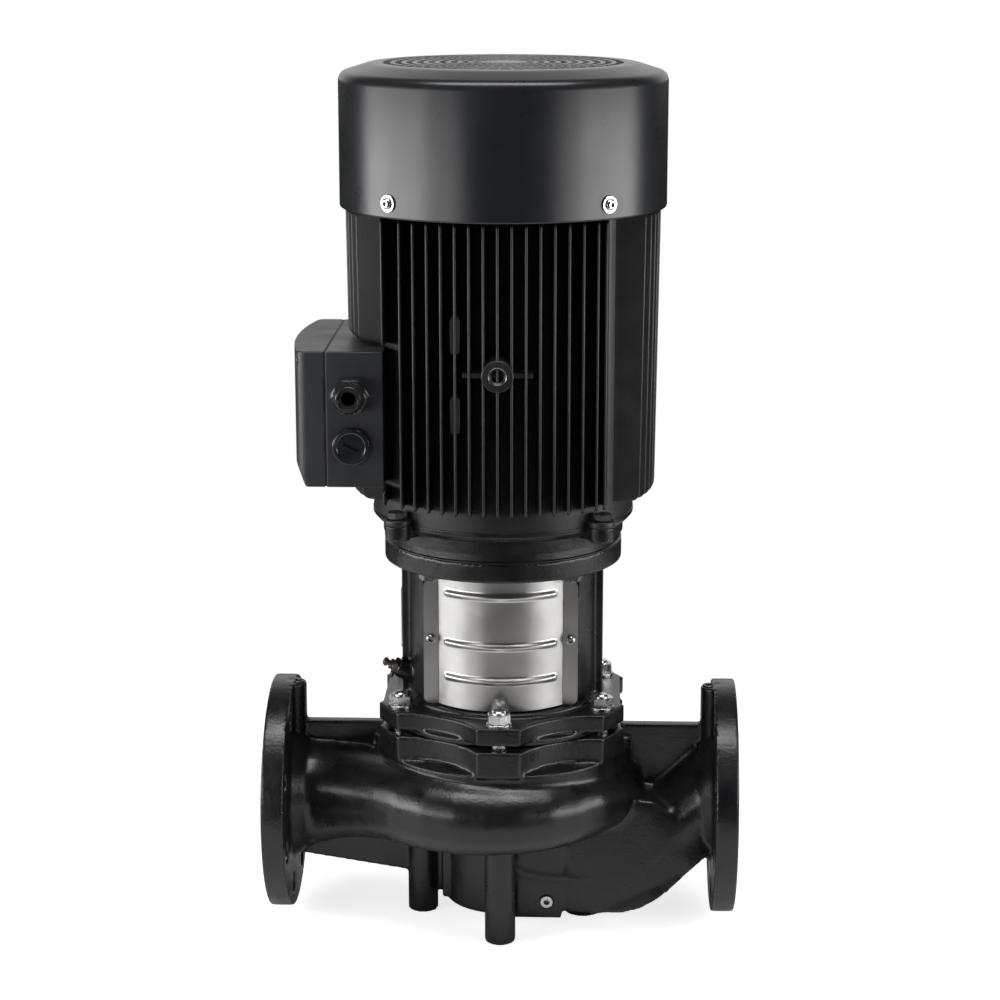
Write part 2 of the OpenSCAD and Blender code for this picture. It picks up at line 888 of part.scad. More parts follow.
module coupling_half(side) {
    difference() {
        translate([0, 0, coupling_low])
            cylinder(r = coupling_r, h = coupling_l);
        translate([-100, side > 0 ? -200 + coupling_split / 2 : -coupling_split / 2, 0])
            cube([200, 200, 400]);
        translate([0, 0, coupling_low - 1])
            cylinder(r = pump_shaft_r + 2 + fit_gap, h = coupling_l);
        translate([0, 0, extension_z - 4])
            cylinder(r = motor_shaft_r + fit_gap, h = coupling_l);
        translate([0, 0, pin_z])
            rotate([0, 90, 0])
                cylinder(r = pin_r + fit_gap, h = 3 * coupling_r, center = true);
        for (x = [-clamp_x, clamp_x])
            for (z = [coupling_low + 2 * clamp_in, coupling_low + coupling_l - clamp_in])
                translate([x, 0, z])
                    rotate([90, 0, 0]) {
                        cylinder(r = clamp_screw_r + 0.3, h = 100, center = true);
                        translate([0, 0, side > 0 ? -43 - clamp_seat : clamp_seat])
                            cylinder(r = clamp_screw_r + 3, h = 43);
                    }
    }
}

module coupling_half_front() {
    color(steel)
        coupling_half(-1);
}

module coupling_half_rear() {
    color(steel)
        coupling_half(1);
}

module coupling_screws() {
    color(zinc)
        for (x = [-clamp_x, clamp_x])
            for (z = [coupling_low + 2 * clamp_in, coupling_low + coupling_l - clamp_in])
                translate([x, -clamp_seat, z])
                    rotate([90, 0, 0])
                        difference() {
                            union() {
                                cylinder(r = clamp_screw_r + 2.4, h = clamp_head_h);
                                translate([0, 0, -clamp_screw_l])
                                    cylinder(r = clamp_screw_r, h = clamp_screw_l + 1);
                            }
                            translate([0, 0, 3])
                                cylinder(r = clamp_screw_r * 0.85, h = clamp_head_h, $fn = 6);
                        }
}

module coupling_pin() {
    color(steel)
        translate([0, 0, pin_z])
            rotate([0, 90, 0])
                cylinder(r = pin_r, h = 2 * coupling_r - 14, center = true);
}

// Coupling guards
guard_low = head_top + 5.5;
guard_high = stool_top - motor_bolt_h - 1;
guard_mid = (head_top + stool_top) / 2 + 1;
guard_screw_r = 2;
guard_screw_x = (guard_half + column_half + 8.5) / 2;
wing_x = column_half + 8.5;

module guard_sheet() {
    curve_r = (guard_half * guard_half + guard_bulge * guard_bulge) / (2 * guard_bulge);
    curve_y = -column_half - guard_bulge + curve_r;
    l = guard_high - guard_low;
    difference() {
        union() {
            intersection() {
                translate([0, curve_y, guard_low])
                    tube(curve_r, curve_r - guard_t, l);
                translate([-guard_half - 1, -column_half - guard_bulge - 1, guard_low])
                    cube([2 * guard_half + 2, guard_bulge + 1, l]);
            }
            for (s = [-1, 1])
                translate([s > 0 ? guard_half - 1 : -wing_x, -column_half - guard_t, guard_low])
                    cube([wing_x - guard_half + 1, guard_t, l]);
            for (z = [guard_mid + 42, guard_mid - 0.5, guard_mid - 30])
                translate([0, curve_y, z])
                    rotate([0, 0, -90 - bead_span / 2])
                        rotate_extrude(angle = bead_span)
                            translate([curve_r - 0.7, 0])
                                circle(r = bead_r, $fn = 24);
        }
        for (s = [-1, 1])
            translate([s * guard_screw_x, -column_half + 1, guard_mid])
                rotate([90, 0, 0])
                    cylinder(r = guard_screw_r + 0.3, h = 6);
        translate([0, curve_y, guard_low - 1])
            cylinder(r = curve_r - guard_t - 0.01, h = l + 2);
    }
}

bead_span = 92;

module guard_front() {
    color(steel)
        guard_sheet();
}

module guard_rear() {
    color(steel)
        rotate([0, 0, 180])
            guard_sheet();
}

module guard_screws() {
    color(zinc)
        for (a = [0, 180])
            rotate([0, 0, a])
                for (s = [-1, 1])
                    translate([s * guard_screw_x, -column_half - guard_t, guard_mid])
                        rotate([90, 0, 0])
                            pan_screw(guard_screw_r, 9, 4, 2.6);
}

// Motor
bearing_z = motor_face + 10;
bearing_w = 18;
low_bore = motor_shaft_r + 1;
low_outer = 40;
high_bore = 15;
high_outer = 31;
high_w = 16;
high_z = frame_top + 4;
lug_r = 11;
lug_circle = 119;
shield_step = 12;

module drive_end_shield() {
    color(satin_black)
        difference() {
            union() {
                translate([0, 0, motor_face])
                    cylinder(r = motor_flange_r, h = shield_step);
                translate([0, 0, motor_face + shield_step - 0.5])
                    cylinder(r1 = motor_flange_r, r2 = barrel_r + 2, h = 7);
                translate([0, 0, motor_face + shield_step + 6])
                    cylinder(r = barrel_r + 2, h = shield_h - shield_step - 6);
                translate([0, 0, motor_face - 4])
                    cylinder(r = spigot_r, h = 5);
                translate([0, 0, frame_z - 16])
                    each_corner(lug_circle)
                        cylinder(r = lug_r, h = 16);
                translate([0, 0, frame_z - 1])
                    cylinder(r = barrel_r - barrel_wall - seat_gap, h = 6);
            }
            difference() {
                translate([0, 0, bearing_z])
                    cylinder(r = barrel_r - barrel_wall - 8, h = 60);
                cylinder(r = low_outer + 8, h = frame_z + 1);
            }
            translate([0, 0, bearing_z])
                cylinder(r = low_outer + fit_gap, h = 60);
            translate([0, 0, motor_face - 5])
                cylinder(r = low_bore + 1.5, h = 30);
            translate([0, 0, motor_face - 1])
                each_corner(motor_pcd / 2)
                    cylinder(r = motor_bolt_r + fit_gap, h = 15);
            translate([0, 0, frame_z - 17])
                each_corner(lug_circle)
                    cylinder(r = lug_bolt_r + 0.4, h = 18);
        }
}

module stool_bolts() {
    color(zinc)
        translate([0, 0, stool_top])
            each_corner(motor_pcd / 2)
                mirror([0, 0, 1])
                    hex_bolt(motor_bolt_r, motor_flange_t + 11, motor_bolt_af, motor_bolt_h);
}

lug_bolt_r = 4;

module shield_bolts() {
    color(zinc)
        translate([0, 0, frame_z - 16])
            each_corner(lug_circle)
                mirror([0, 0, 1])
                    hex_bolt(lug_bolt_r, 30, 13, 5.3);
}

fin_count = 8;
side_fins = 5;
box_x = 94;
box_z = motor_face + box_rise;
boss_z = motor_face + boss_rise;
barrel_in_r = barrel_r - barrel_wall;
fin_root = barrel_in_r - 21;

module fin_envelope() {
    translate([0, 0, fin_z])
        cylinder(r1 = fin_reach_low, r2 = fin_reach_high, h = fin_top - fin_z);
}

module cooling_fins() {
    h = fin_top - fin_z;
    l = fin_reach_high - fin_root + 10;
    for (k = [-fin_count : fin_count])
        translate([k * fin_pitch - fin_t / 2, -fin_root - l, fin_z - 1])
            cube([fin_t, 2 * (fin_root + l), h + 2]);
    for (k = [-side_fins : side_fins]) {
        translate([fin_root, k * fin_pitch - fin_t / 2, fin_z - 1])
            cube([l, fin_t, h + 2]);
        translate([-fin_root - l, k * fin_pitch - fin_t / 2, box_z + box_h + 4])
            cube([l, fin_t, fin_top - box_z - box_h - 4]);
        translate([-fin_root - l, k * fin_pitch - fin_t / 2, fin_z - 1])
            cube([l, fin_t, box_z - fin_z - 2]);
    }
    // Moulding pads on one front fin, and the ribs that carry the eyebolt boss
    for (z = [motor_face + 191, motor_face + 127])
        translate([-3 * fin_pitch, -116, z])
            rotate([90, 0, 0])
                pad_bar();
    translate([-2.5 * fin_pitch, -fin_reach_high + 2.5, boss_z - 1.5])
        cube([5 * fin_pitch, 20, 3]);
}

module pad_bar() {
    translate([0, -11, 0])
        cylinder(r = 4, h = 30);
    translate([0, 11, 0])
        cylinder(r = 4, h = 30);
    translate([-4, -11, 0])
        cube([8, 22, 30]);
}

module motor_frame() {
    color(satin_black)
        difference() {
            union() {
                intersection() {
                    fin_envelope();
                    cooling_fins();
                }
                translate([0, 0, frame_z])
                    cylinder(r = barrel_r, h = frame_h);
                translate([0, 0, frame_z])
                    each_corner(lug_circle - 2)
                        cylinder(r = lug_r, h = 24);
                translate([0, 0, boss_z])
                    rotate([90, 0, 0])
                        cylinder(r = boss_r, h = fin_reach_high);
            }
            translate([0, 0, frame_z - 1])
                cylinder(r = barrel_in_r, h = frame_h + 2);
            translate([0, -fin_reach_high - 1, boss_z])
                rotate([-90, 0, 0]) {
                    cylinder(d = eyebolt_d, h = eyebolt_depth + 1);
                    cylinder(r1 = eyebolt_d / 2 + 2, r2 = eyebolt_d / 2, h = 2.6);
                }
            translate([-barrel_r - 10, -passage_w / 2, box_z + box_h / 2 - passage_h / 2])
                cube([40, passage_w, passage_h]);
            translate([0, 0, frame_z - 1])
                each_corner(lug_circle)
                    cylinder(r = lug_bolt_r + fit_gap, h = 16);
        }
}

passage_w = 46;
passage_h = 40;

module stator_core() {
    bore_r = rotor_r + 0.6;
    color(steel)
        translate([0, 0, core_z])
            difference() {
                cylinder(r = barrel_in_r - fit_gap, h = core_l);
                translate([0, 0, -1])
                    cylinder(r = bore_r, h = core_l + 2);
                for (i = [0 : 23])
                    rotate([0, 0, 15 * i])
                        translate([bore_r - 2, -2.5, -1])
                            cube([21, 5, core_l + 2]);
            }
}

module stator_windings() {
    color("#8a4a1e")
        for (z = [core_z - 32, core_z + core_l])
            translate([0, 0, z])
                difference() {
                    cylinder(r = barrel_in_r - 7, h = 32);
                    translate([0, 0, -1])
                        cylinder(r = rotor_r + 5, h = 34);
                }
}

module rotor_core() {
    color(steel)
        difference() {
            union() {
                translate([0, 0, core_z])
                    cylinder(r = rotor_r, h = core_l);
                translate([0, 0, core_z - 12])
                    cylinder(r = rotor_r - 4, h = core_l + 24);
            }
            translate([0, 0, core_z - 13])
                cylinder(r = low_bore + 4 + fit_gap, h = core_l + 26);
        }
}

module motor_shaft() {
    color(steel)
        difference() {
            union() {
                translate([0, 0, extension_z])
                    cylinder(r = motor_shaft_r, h = shaft_top - extension_z);
                translate([0, 0, motor_face + 2])
                    cylinder(r = low_bore, h = 30);
                translate([0, 0, bearing_z + bearing_w])
                    cylinder(r = low_bore + 4, h = high_z - bearing_z - bearing_w);
            }
            // Stepped down for the upper bearing and the fan
            translate([0, 0, high_z])
                tube(60, high_bore, 300);
            translate([0, 0, fan_z - 1])
                tube(60, high_bore - 1, 300);
            translate([0, 0, fan_z + hub_l])
                tube(60, high_bore - 2.5, 1.6);
        }
}

module bearing_ring_outer(bore, outer, w) {
    pitch = (bore + outer) / 2;
    ball = (outer - bore) * 0.295;
    difference() {
        tube(outer, pitch + ball * 0.75, w);
        translate([0, 0, w / 2])
            rotate_extrude()
                translate([pitch, 0])
                    circle(r = ball + fit_gap, $fn = 32);
    }
}

module bearing_ring_inner(bore, outer, w) {
    pitch = (bore + outer) / 2;
    ball = (outer - bore) * 0.295;
    difference() {
        tube(pitch - ball * 0.75, bore + fit_gap, w);
        translate([0, 0, w / 2])
            rotate_extrude()
                translate([pitch, 0])
                    circle(r = ball + fit_gap, $fn = 32);
    }
}

module bearing_balls(bore, outer, w, count) {
    pitch = (bore + outer) / 2;
    ball = (outer - bore) * 0.295;
    translate([0, 0, w / 2]) {
        for (i = [0 : count - 1])
            rotate([0, 0, 360 * i / count])
                translate([pitch, 0, 0])
                    sphere(r = ball, $fn = 32);
        translate([0, 0, -ball * 0.6])
            tube(pitch + ball * 0.3, pitch - ball * 0.3, ball * 1.2);
    }
}

module lower_bearing_outer() {
    color(steel)
        translate([0, 0, bearing_z])
            bearing_ring_outer(low_bore, low_outer, bearing_w);
}

module lower_bearing_inner() {
    color(steel)
        translate([0, 0, bearing_z])
            bearing_ring_inner(low_bore, low_outer, bearing_w);
}

module lower_bearing_balls() {
    color(zinc)
        translate([0, 0, bearing_z])
            bearing_balls(low_bore, low_outer, bearing_w, 9);
}

module upper_bearing_outer() {
    color(steel)
        translate([0, 0, high_z])
            bearing_ring_outer(high_bore, high_outer, high_w);
}

module upper_bearing_inner() {
    color(steel)
        translate([0, 0, high_z])
            bearing_ring_inner(high_bore, high_outer, high_w);
}

module upper_bearing_balls() {
    color(zinc)
        translate([0, 0, high_z])
            bearing_balls(high_bore, high_outer, high_w, 9);
}

module bearing_spring() {
    color(steel)
        translate([0, 0, high_z + high_w])
            tube(high_outer - 0.5, high_outer - 5, 1.2);
}

// Fan end
lug_span = 16;
screw_angles = [-130, -50, 50, 130];
screw_rise = 12;
cover_screw_l = 18;
cover_head_r = 4.6;
cover_washer_t = 1.4;

module fan_end_shield() {
    color(satin_black)
        difference() {
            union() {
                translate([0, 0, frame_top - 6])
                    cylinder(r = barrel_in_r - seat_gap, h = 7);
                translate([0, 0, frame_top])
                    cylinder(r = barrel_r, h = 8);
                translate([0, 0, frame_top - 6])
                    cylinder(r = high_outer + 7, h = 6 + 4 + high_w + 7);
                for (a = screw_angles)
                    rotate([0, 0, a])
                        translate([barrel_r - 20, -lug_span / 2, frame_top])
                            cube([cover_r - cover_t - seat_gap - barrel_r + 19.4, lug_span, lug_span]);
            }
            translate([0, 0, frame_top - 7])
                difference() {
                    cylinder(r = barrel_in_r - 6, h = 8);
                    cylinder(r = high_outer + 7, h = 9);
                }
            translate([0, 0, frame_top - 7])
                cylinder(r = high_outer + fit_gap, h = 11 + high_w + 1.3);
            cylinder(r = high_bore + 2, h = 900);
            for (a = screw_angles)
                rotate([0, 0, a])
                    translate([cover_r - cover_screw_l - 1, 0, cover_z + screw_rise])
                        rotate([0, 90, 0])
                            cylinder(r = cover_screw_r + fit_gap, h = 2 * cover_screw_l);
        }
}

hub_l = 30;

module cooling_fan() {
    color(rubber)
        difference() {
            union() {
                translate([0, 0, fan_z])
                    cylinder(r = 24, h = hub_l);
                translate([0, 0, fan_z])
                    cylinder(r = 66, h = 3.5);
                for (i = [0 : blade_count - 1])
                    rotate([0, 0, 360 * i / blade_count])
                        translate([20, -1.5, fan_z])
                            cube([blade_reach - 20, 3, 27]);
            }
            translate([0, 0, fan_z - 1])
                cylinder(r = high_bore - 1 + fit_gap, h = hub_l + 2);
            translate([0, 0, fan_z + 10])
                difference() {
                    cylinder(r = blade_reach + 10, h = 40);
                    translate([0, 0, -1])
                        cylinder(r1 = blade_reach + 1, r2 = blade_reach - 16, h = 19);
                    translate([0, 0, -1])
                        cylinder(r = 34, h = 60);
                }
        }
}

module fan_clip() {
    color(steel)
        translate([0, 0, fan_z + hub_l + 0.2])
            difference() {
                tube(high_bore + 3, high_bore - 2.4, 1.2);
                translate([0, -4, -1])
                    cube([40, 8, 4]);
            }
}

spoke_w = 3.4;
cover_screw_r = 2.5;

module air_slots() {
    for (i = [0 : slot_rings - 1])
        difference() {
            translate([0, 0, cover_top - cover_t - 3])
                tube(grille_r - slot_pitch * i, grille_r - slot_pitch * i - slot_w, cover_t + 6);
            for (a = [0 : 30 : 150])
                rotate([0, 0, a + (i % 2) * 15])
                    translate([-cover_r, -spoke_w / 2, cover_top - 12])
                        cube([2 * cover_r, spoke_w, 20]);
        }
}

module fan_cover() {
    color(satin_black)
        difference() {
            union() {
                translate([0, 0, cover_z])
                    cylinder(r = cover_r, h = cover_h - shoulder_h);
                translate([0, 0, cover_top - shoulder_h])
                    cylinder(r1 = cover_r, r2 = top_r, h = shoulder_h);
            }
            translate([0, 0, cover_z - 1])
                cylinder(r = cover_r - cover_t, h = cover_h - shoulder_h + 0.6);
            translate([0, 0, cover_top - shoulder_h - 0.5])
                cylinder(r1 = cover_r - cover_t, r2 = top_r - cover_t, h = shoulder_h - cover_t + 0.5);
            air_slots();
            for (a = screw_angles)
                rotate([0, 0, a])
                    translate([cover_r - 10, 0, cover_z + screw_rise])
                        rotate([0, 90, 0])
                            cylinder(r = cover_screw_r + 0.4, h = 20);
        }
}

module fan_cover_screws() {
    color(zinc)
        for (a = screw_angles)
            rotate([0, 0, a])
                translate([cover_r + fit_gap, 0, cover_z + screw_rise])
                    rotate([0, 90, 0]) {
                        tube(cover_head_r * 1.55, cover_screw_r + 0.2, cover_washer_t);
                        translate([0, 0, cover_washer_t])
                            pan_screw(cover_screw_r, cover_screw_l, cover_head_r, cover_head_r * 0.65);
                    }
}

// Terminal box on the left of the frame
lid_x = box_reach + gasket_t;
box_skin_r = barrel_r + seat_gap;
edge_r = 7;
lid_screw_in = 9;
lid_screw_r = 2;
lid_screw_l = 27;
lid_head_r = 4;
lid_seat_in = 16;
lid_curve_r = 360;
lid_slope = 5;
lid_slope_h = 15;

module box_block(x_from, x_to, shrink) {
    translate([-x_to, -box_w / 2 + shrink, box_z + shrink])
        cube([x_to - x_from, box_w - 2 * shrink, box_h - 2 * shrink]);
}

module each_lid_screw() {
    for (y = [-1, 1])
        for (z = [lid_screw_in, box_h - lid_screw_in])
            translate([0, y * (box_w / 2 - lid_screw_in), box_z + z])
                rotate([0, -90, 0])
                    children();
}

module terminal_box() {
    color(satin_black)
        difference() {
            union() {
                difference() {
                    box_block(box_x, box_reach, 0);
                    difference() {
                        box_block(box_x + box_wall, box_reach + 1, box_wall);
                        cylinder(r = box_skin_r + box_wall, h = box_z + box_h + 10);
                    }
                }
                for (y = [-26, 26])
                    translate([-board_x, y, board_z])
                        rotate([0, 90, 0])
                            cylinder(r = 4, h = board_x - box_skin_r + 5);
                intersection() {
                    translate([-box_x - 10, 0, 0])
                        each_lid_screw()
                            cylinder(r = 6, h = box_reach - box_x - 10);
                    box_block(box_x, box_reach, 1);
                }
            }
            translate([0, 0, box_z - 10])
                cylinder(r = box_skin_r, h = box_h + 20);
            translate([-barrel_r - 20, -passage_w / 2, box_z + box_h / 2 - passage_h / 2])
                cube([60, passage_w, passage_h]);
            translate([-lid_x - lid_seat_in + lid_screw_l + 3, 0, 0])
                each_lid_screw()
                    cylinder(r = lid_screw_r + fit_gap, h = lid_screw_l);
            for (z = [gland_z, plug_z])
                translate([-gland_x, -box_w / 2 - 1, z])
                    rotate([-90, 0, 0])
                        cylinder(r = gland_thread_r + fit_gap, h = box_wall + 2);
        }
}

module terminal_gasket() {
    color(rubber)
        difference() {
            box_block(box_reach, lid_x, 0.5);
            difference() {
                box_block(box_reach - 1, lid_x + 1, box_wall);
                translate([-box_x, 0, 0])
                    each_lid_screw()
                        cylinder(r = 6, h = 60);
            }
            translate([-box_x, 0, 0])
                each_lid_screw()
                    cylinder(r = 2.4, h = 60);
        }
}

// Space in front of the lid's joint, inside its bowed front
module lid_bow(thin) {
    r = lid_curve_r - thin;
    translate([lid_curve_r - lid_x - lid_d, 0, box_z]) {
        cylinder(r1 = r - lid_slope, r2 = r, h = lid_slope_h);
        translate([0, 0, lid_slope_h])
            cylinder(r = r, h = box_h);
    }
}

module lid_block() {
    corner_y = box_w / 2 - edge_r;
    inner_r = lid_curve_r - edge_r;
    corner_x = lid_x + lid_d - lid_curve_r + sqrt(inner_r * inner_r - corner_y * corner_y);
    box_block(lid_x, corner_x, 0);
    translate([-lid_x - lid_d, -corner_y, box_z])
        cube([lid_d, 2 * corner_y, box_h]);
    for (s = [-1, 1])
        translate([-corner_x, s * corner_y, box_z])
            cylinder(r = edge_r, h = box_h);
}

module terminal_cover() {
    color(satin_black)
        difference() {
            intersection() {
                lid_block();
                lid_bow(0);
            }
            difference() {
                intersection() {
                    box_block(lid_x - 1, lid_x + lid_d, box_wall + 1);
                    lid_bow(box_wall);
                }
                translate([-box_x, 0, 0])
                    each_lid_screw()
                        cylinder(r = lid_head_r + 3, h = 90);
            }
            translate([-box_x, 0, 0])
                each_lid_screw()
                    cylinder(r = lid_screw_r + 0.4, h = 100);
            translate([-lid_x - lid_seat_in, 0, 0])
                each_lid_screw()
                    cylinder(r = lid_head_r + 1.4, h = lid_d);
        }
}

module terminal_cover_screws() {
    color(zinc)
        translate([-lid_x - lid_seat_in, 0, 0])
            each_lid_screw()
                pan_screw(lid_screw_r, lid_screw_l, lid_head_r, 3);
}

board_x = 120;
board_t = 8;
board_z = box_z + box_h / 2 + passage_h / 2 + 16;

stud_r = 2.5;
stud_y = [-16, 0, 16];

module terminal_board() {
    color(rubber)
        difference() {
            translate([-board_x - board_t, -32, board_z - 13])
                cube([board_t, 64, 26]);
            for (y = stud_y)
                translate([-board_x - board_t - 1, y, board_z])
                    rotate([0, 90, 0])
                        cylinder(r = stud_r + fit_gap, h = board_t + 2);
        }
}

module terminal_studs() {
    color(brass)
        for (y = stud_y)
            translate([-board_x - board_t, y, board_z])
                rotate([0, 90, 0]) {
                    translate([0, 0, -10])
                        cylinder(r = stud_r, h = board_t + 8);
                    translate([0, 0, -3.6])
                        hex(8, 3.5);
                }
}

gland_x = 120;
gland_z = box_z + 77;
plug_z = box_z + 34;
gland_thread_r = 12;

module gland_body() {
    color(rubber)
        translate([-gland_x, -box_w / 2, gland_z])
            rotate([90, 0, 0])
                difference() {
                    union() {
                        translate([0, 0, -box_wall - 4])
                            cylinder(r = gland_thread_r, h = box_wall + 5);
                        hex(gland_r * 2 * cos(30), 8);
                        translate([0, 0, 7.5])
                            cylinder(r = gland_thread_r, h = 8);
                    }
                    translate([0, 0, -20])
                        cylinder(r = cable_r + 3, h = 60);
                }
}

module gland_nut() {
    color(rubber)
        translate([-gland_x, -box_w / 2 - 8, gland_z])
            rotate([90, 0, 0])
                difference() {
                    union() {
                        hex(gland_r * 1.86 * cos(30), 10);
                        translate([0, 0, 9.5])
                            cylinder(r1 = gland_r * 0.84, r2 = gland_r * 0.6, h = 6.5);
                    }
                    translate([0, 0, -1])
                        cylinder(r = gland_thread_r + fit_gap, h = 8.6);
                    cylinder(r = cable_r + 1.5, h = 30);
                }
}

module gland_seal() {
    color(rubber)
        translate([-gland_x, -box_w / 2 - 2, gland_z])
            rotate([90, 0, 0])
                tube(cable_r + 1.4, cable_r, 20);
}

module blanking_plug() {
    color(rubber)
        translate([-gland_x, -box_w / 2, plug_z])
            rotate([90, 0, 0])
                difference() {
                    union() {
                        translate([0, 0, -box_wall - 2])
                            cylinder(r = gland_thread_r, h = box_wall + 3);
                        cylinder(r = plug_r, h = 4.5);
                    }
                    rotate([0, 0, -23])
                        translate([-6, -1, 3])
                            cube([12, 2, 4]);
                }
}

pump_housing();
wear_ring();
drain_plug();
tapping_plugs();
impeller();
impeller_washer();
impeller_nut();
impeller_key();
pump_shaft();
seal_rotor();
seal_face();
seal_seat();
head_gasket();
motor_stool();
head_bolts();
head_washers();
vent_body();
vent_screw();
nameplate();
coupling_half_front();
coupling_half_rear();
coupling_screws();
coupling_pin();
guard_front();
guard_rear();
guard_screws();
drive_end_shield();
stool_bolts();
shield_bolts();
motor_frame();
stator_core();
stator_windings();
rotor_core();
motor_shaft();
lower_bearing_outer();
lower_bearing_inner();
lower_bearing_balls();
upper_bearing_outer();
upper_bearing_inner();
upper_bearing_balls();
bearing_spring();
fan_end_shield();
cooling_fan();
fan_clip();
fan_cover();
fan_cover_screws();
terminal_box();
terminal_gasket();
terminal_cover();
terminal_cover_screws();
terminal_board();
terminal_studs();
gland_body();
gland_nut();
gland_seal();
blanking_plug();
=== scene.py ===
# In-line circulation pump with its flange motor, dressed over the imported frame
import json
import math
import bmesh
import bpy
from mathutils import Matrix, Vector


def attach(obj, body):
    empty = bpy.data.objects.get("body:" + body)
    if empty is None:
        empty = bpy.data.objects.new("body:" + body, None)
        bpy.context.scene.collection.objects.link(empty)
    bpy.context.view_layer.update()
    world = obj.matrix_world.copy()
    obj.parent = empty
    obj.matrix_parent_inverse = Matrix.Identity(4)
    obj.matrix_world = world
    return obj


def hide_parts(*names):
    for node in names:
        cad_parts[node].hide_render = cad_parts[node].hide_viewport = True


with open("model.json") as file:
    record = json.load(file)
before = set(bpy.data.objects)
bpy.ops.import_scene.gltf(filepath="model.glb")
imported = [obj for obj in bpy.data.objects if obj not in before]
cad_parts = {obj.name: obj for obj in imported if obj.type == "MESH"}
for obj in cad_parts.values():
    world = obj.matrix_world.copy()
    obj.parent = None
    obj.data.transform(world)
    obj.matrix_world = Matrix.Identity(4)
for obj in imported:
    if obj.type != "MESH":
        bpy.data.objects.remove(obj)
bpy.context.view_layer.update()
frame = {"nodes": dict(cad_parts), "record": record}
scene = bpy.context.scene
mm = 0.001

cameraSetup = {
    "place": (0.0755, -2.0720, 0.8600),
    "tiltDegrees": 76.652,
    "turnDegrees": 2.162,
    "lens": 90.817,
    "sensor": 36.0,
    "farthest": 120.0,
}
# azimuth right of the viewer, distance, height, width, tall, radiance
lampSetup = {
    "leftOuter": (-78, 1.35, 0.455, 1.25, 0.40, 7.7),
    "leftInner": (-42, 1.45, 0.455, 0.82, 0.40, 3.9),
    "rightOuter": (79, 1.35, 0.455, 1.12, 0.40, 6.8),
    "rightInner": (50, 1.45, 0.455, 0.56, 0.40, 3.5),
    "overhead": (0, 0.45, 1.95, 1.70, 0.55, 8.5),
}
lampAim = {"side": 0.4, "overhead": 0.3}   # heights the lamps look at, in metres
backdropSetup = {
    "floorSize": 60.0,
    "floorDrop": 0.0005,
    "floorColor": (0.86, 0.86, 0.86),
    "floorRough": 0.9,
    "floorLift": 0.78,             # white added for the eye only
    "shadowReach": (0.42, 0.75),   # metres over which the eye's shadow fades out
    "tableEdge": (0.48, 0.76),     # metres over which the white paper ends for gloss and lamps
    "tableShape": (0.25, 1, 1),    # the paper is four times as wide as it is deep
    "roomColor": (0.05, 0.05, 0.05),
    "roomFront": 0.012,    # what gloss sees around the viewer
    "roomBack": 0.9,       # what gloss sees behind the pump
    "backFrom": 0.62,      # where the room starts to brighten, as the heading's Y
    "backTo": 0.86,
    "fill": 0.05,          # even light on every surface
}


def addCamera(setup):
    data = bpy.data.cameras.new("photoCamera")
    data.lens = setup["lens"]
    data.sensor_width = setup["sensor"]
    data.sensor_fit = "HORIZONTAL"
    data.clip_end = setup["farthest"]
    cam = bpy.data.objects.new("photoCamera", data)
    cam.location = setup["place"]
    cam.rotation_euler = (math.radians(setup["tiltDegrees"]), 0, math.radians(setup["turnDegrees"]))
    scene.collection.objects.link(cam)
    scene.camera = cam


def addLamp(name, azimuth, distance, height, width, tall, radiance):
    data = bpy.data.lights.new(name, "AREA")
    data.shape = "RECTANGLE"
    data.size = width
    data.size_y = tall
    data.energy = radiance * width * tall * math.pi
    lamp = bpy.data.objects.new(name, data)
    a = math.radians(azimuth)
    lamp.location = (distance * math.sin(a), -distance * math.cos(a), height)
    aim = Vector((0, 0, lampAim["side" if height < 1 else "overhead"])) - lamp.location
    lamp.rotation_euler = aim.to_track_quat("-Z", "Y").to_euler()
    scene.collection.objects.link(lamp)


def plainGlow(nodes, strength):
    glow = nodes.new("ShaderNodeBackground")
    glow.inputs["Color"].default_value = (1, 1, 1, 1)
    glow.inputs["Strength"].default_value = strength
    return glow


def addRoom(setup):
    world = bpy.data.worlds.new("studio")
    world.use_nodes = True
    nodes, links = world.node_tree.nodes, world.node_tree.links
    nodes.clear()
    out = nodes.new("ShaderNodeOutputWorld")
    seen = plainGlow(nodes, 1)
    room = plainGlow(nodes, 1)
    soft = plainGlow(nodes, setup["fill"])
    coord = nodes.new("ShaderNodeTexCoord")
    split = nodes.new("ShaderNodeSeparateXYZ")
    links.new(coord.outputs["Generated"], split.inputs[0])
    depth = nodes.new("ShaderNodeMapRange")
    depth.inputs["From Min"].default_value = setup["backFrom"]
    depth.inputs["From Max"].default_value = setup["backTo"]
    depth.inputs["To Min"].default_value = setup["roomFront"]
    depth.inputs["To Max"].default_value = setup["roomBack"]
    links.new(split.outputs["Y"], depth.inputs["Value"])
    links.new(depth.outputs["Result"], room.inputs["Strength"])
    path = nodes.new("ShaderNodeLightPath")
    glossy = nodes.new("ShaderNodeMixShader")
    links.new(path.outputs["Is Glossy Ray"], glossy.inputs["Fac"])
    links.new(soft.outputs[0], glossy.inputs[1])
    links.new(room.outputs[0], glossy.inputs[2])
    mix = nodes.new("ShaderNodeMixShader")
    links.new(path.outputs["Is Camera Ray"], mix.inputs["Fac"])
    links.new(glossy.outputs[0], mix.inputs[1])
    links.new(seen.outputs[0], mix.inputs[2])
    links.new(mix.outputs[0], out.inputs["Surface"])
    scene.world = world


def fadeOver(nodes, links, reach, span):
    fade = nodes.new("ShaderNodeMapRange")
    fade.inputs["From Min"].default_value = span[0]
    fade.inputs["From Max"].default_value = span[1]
    links.new(reach.outputs["Value"], fade.inputs["Value"])
    return fade


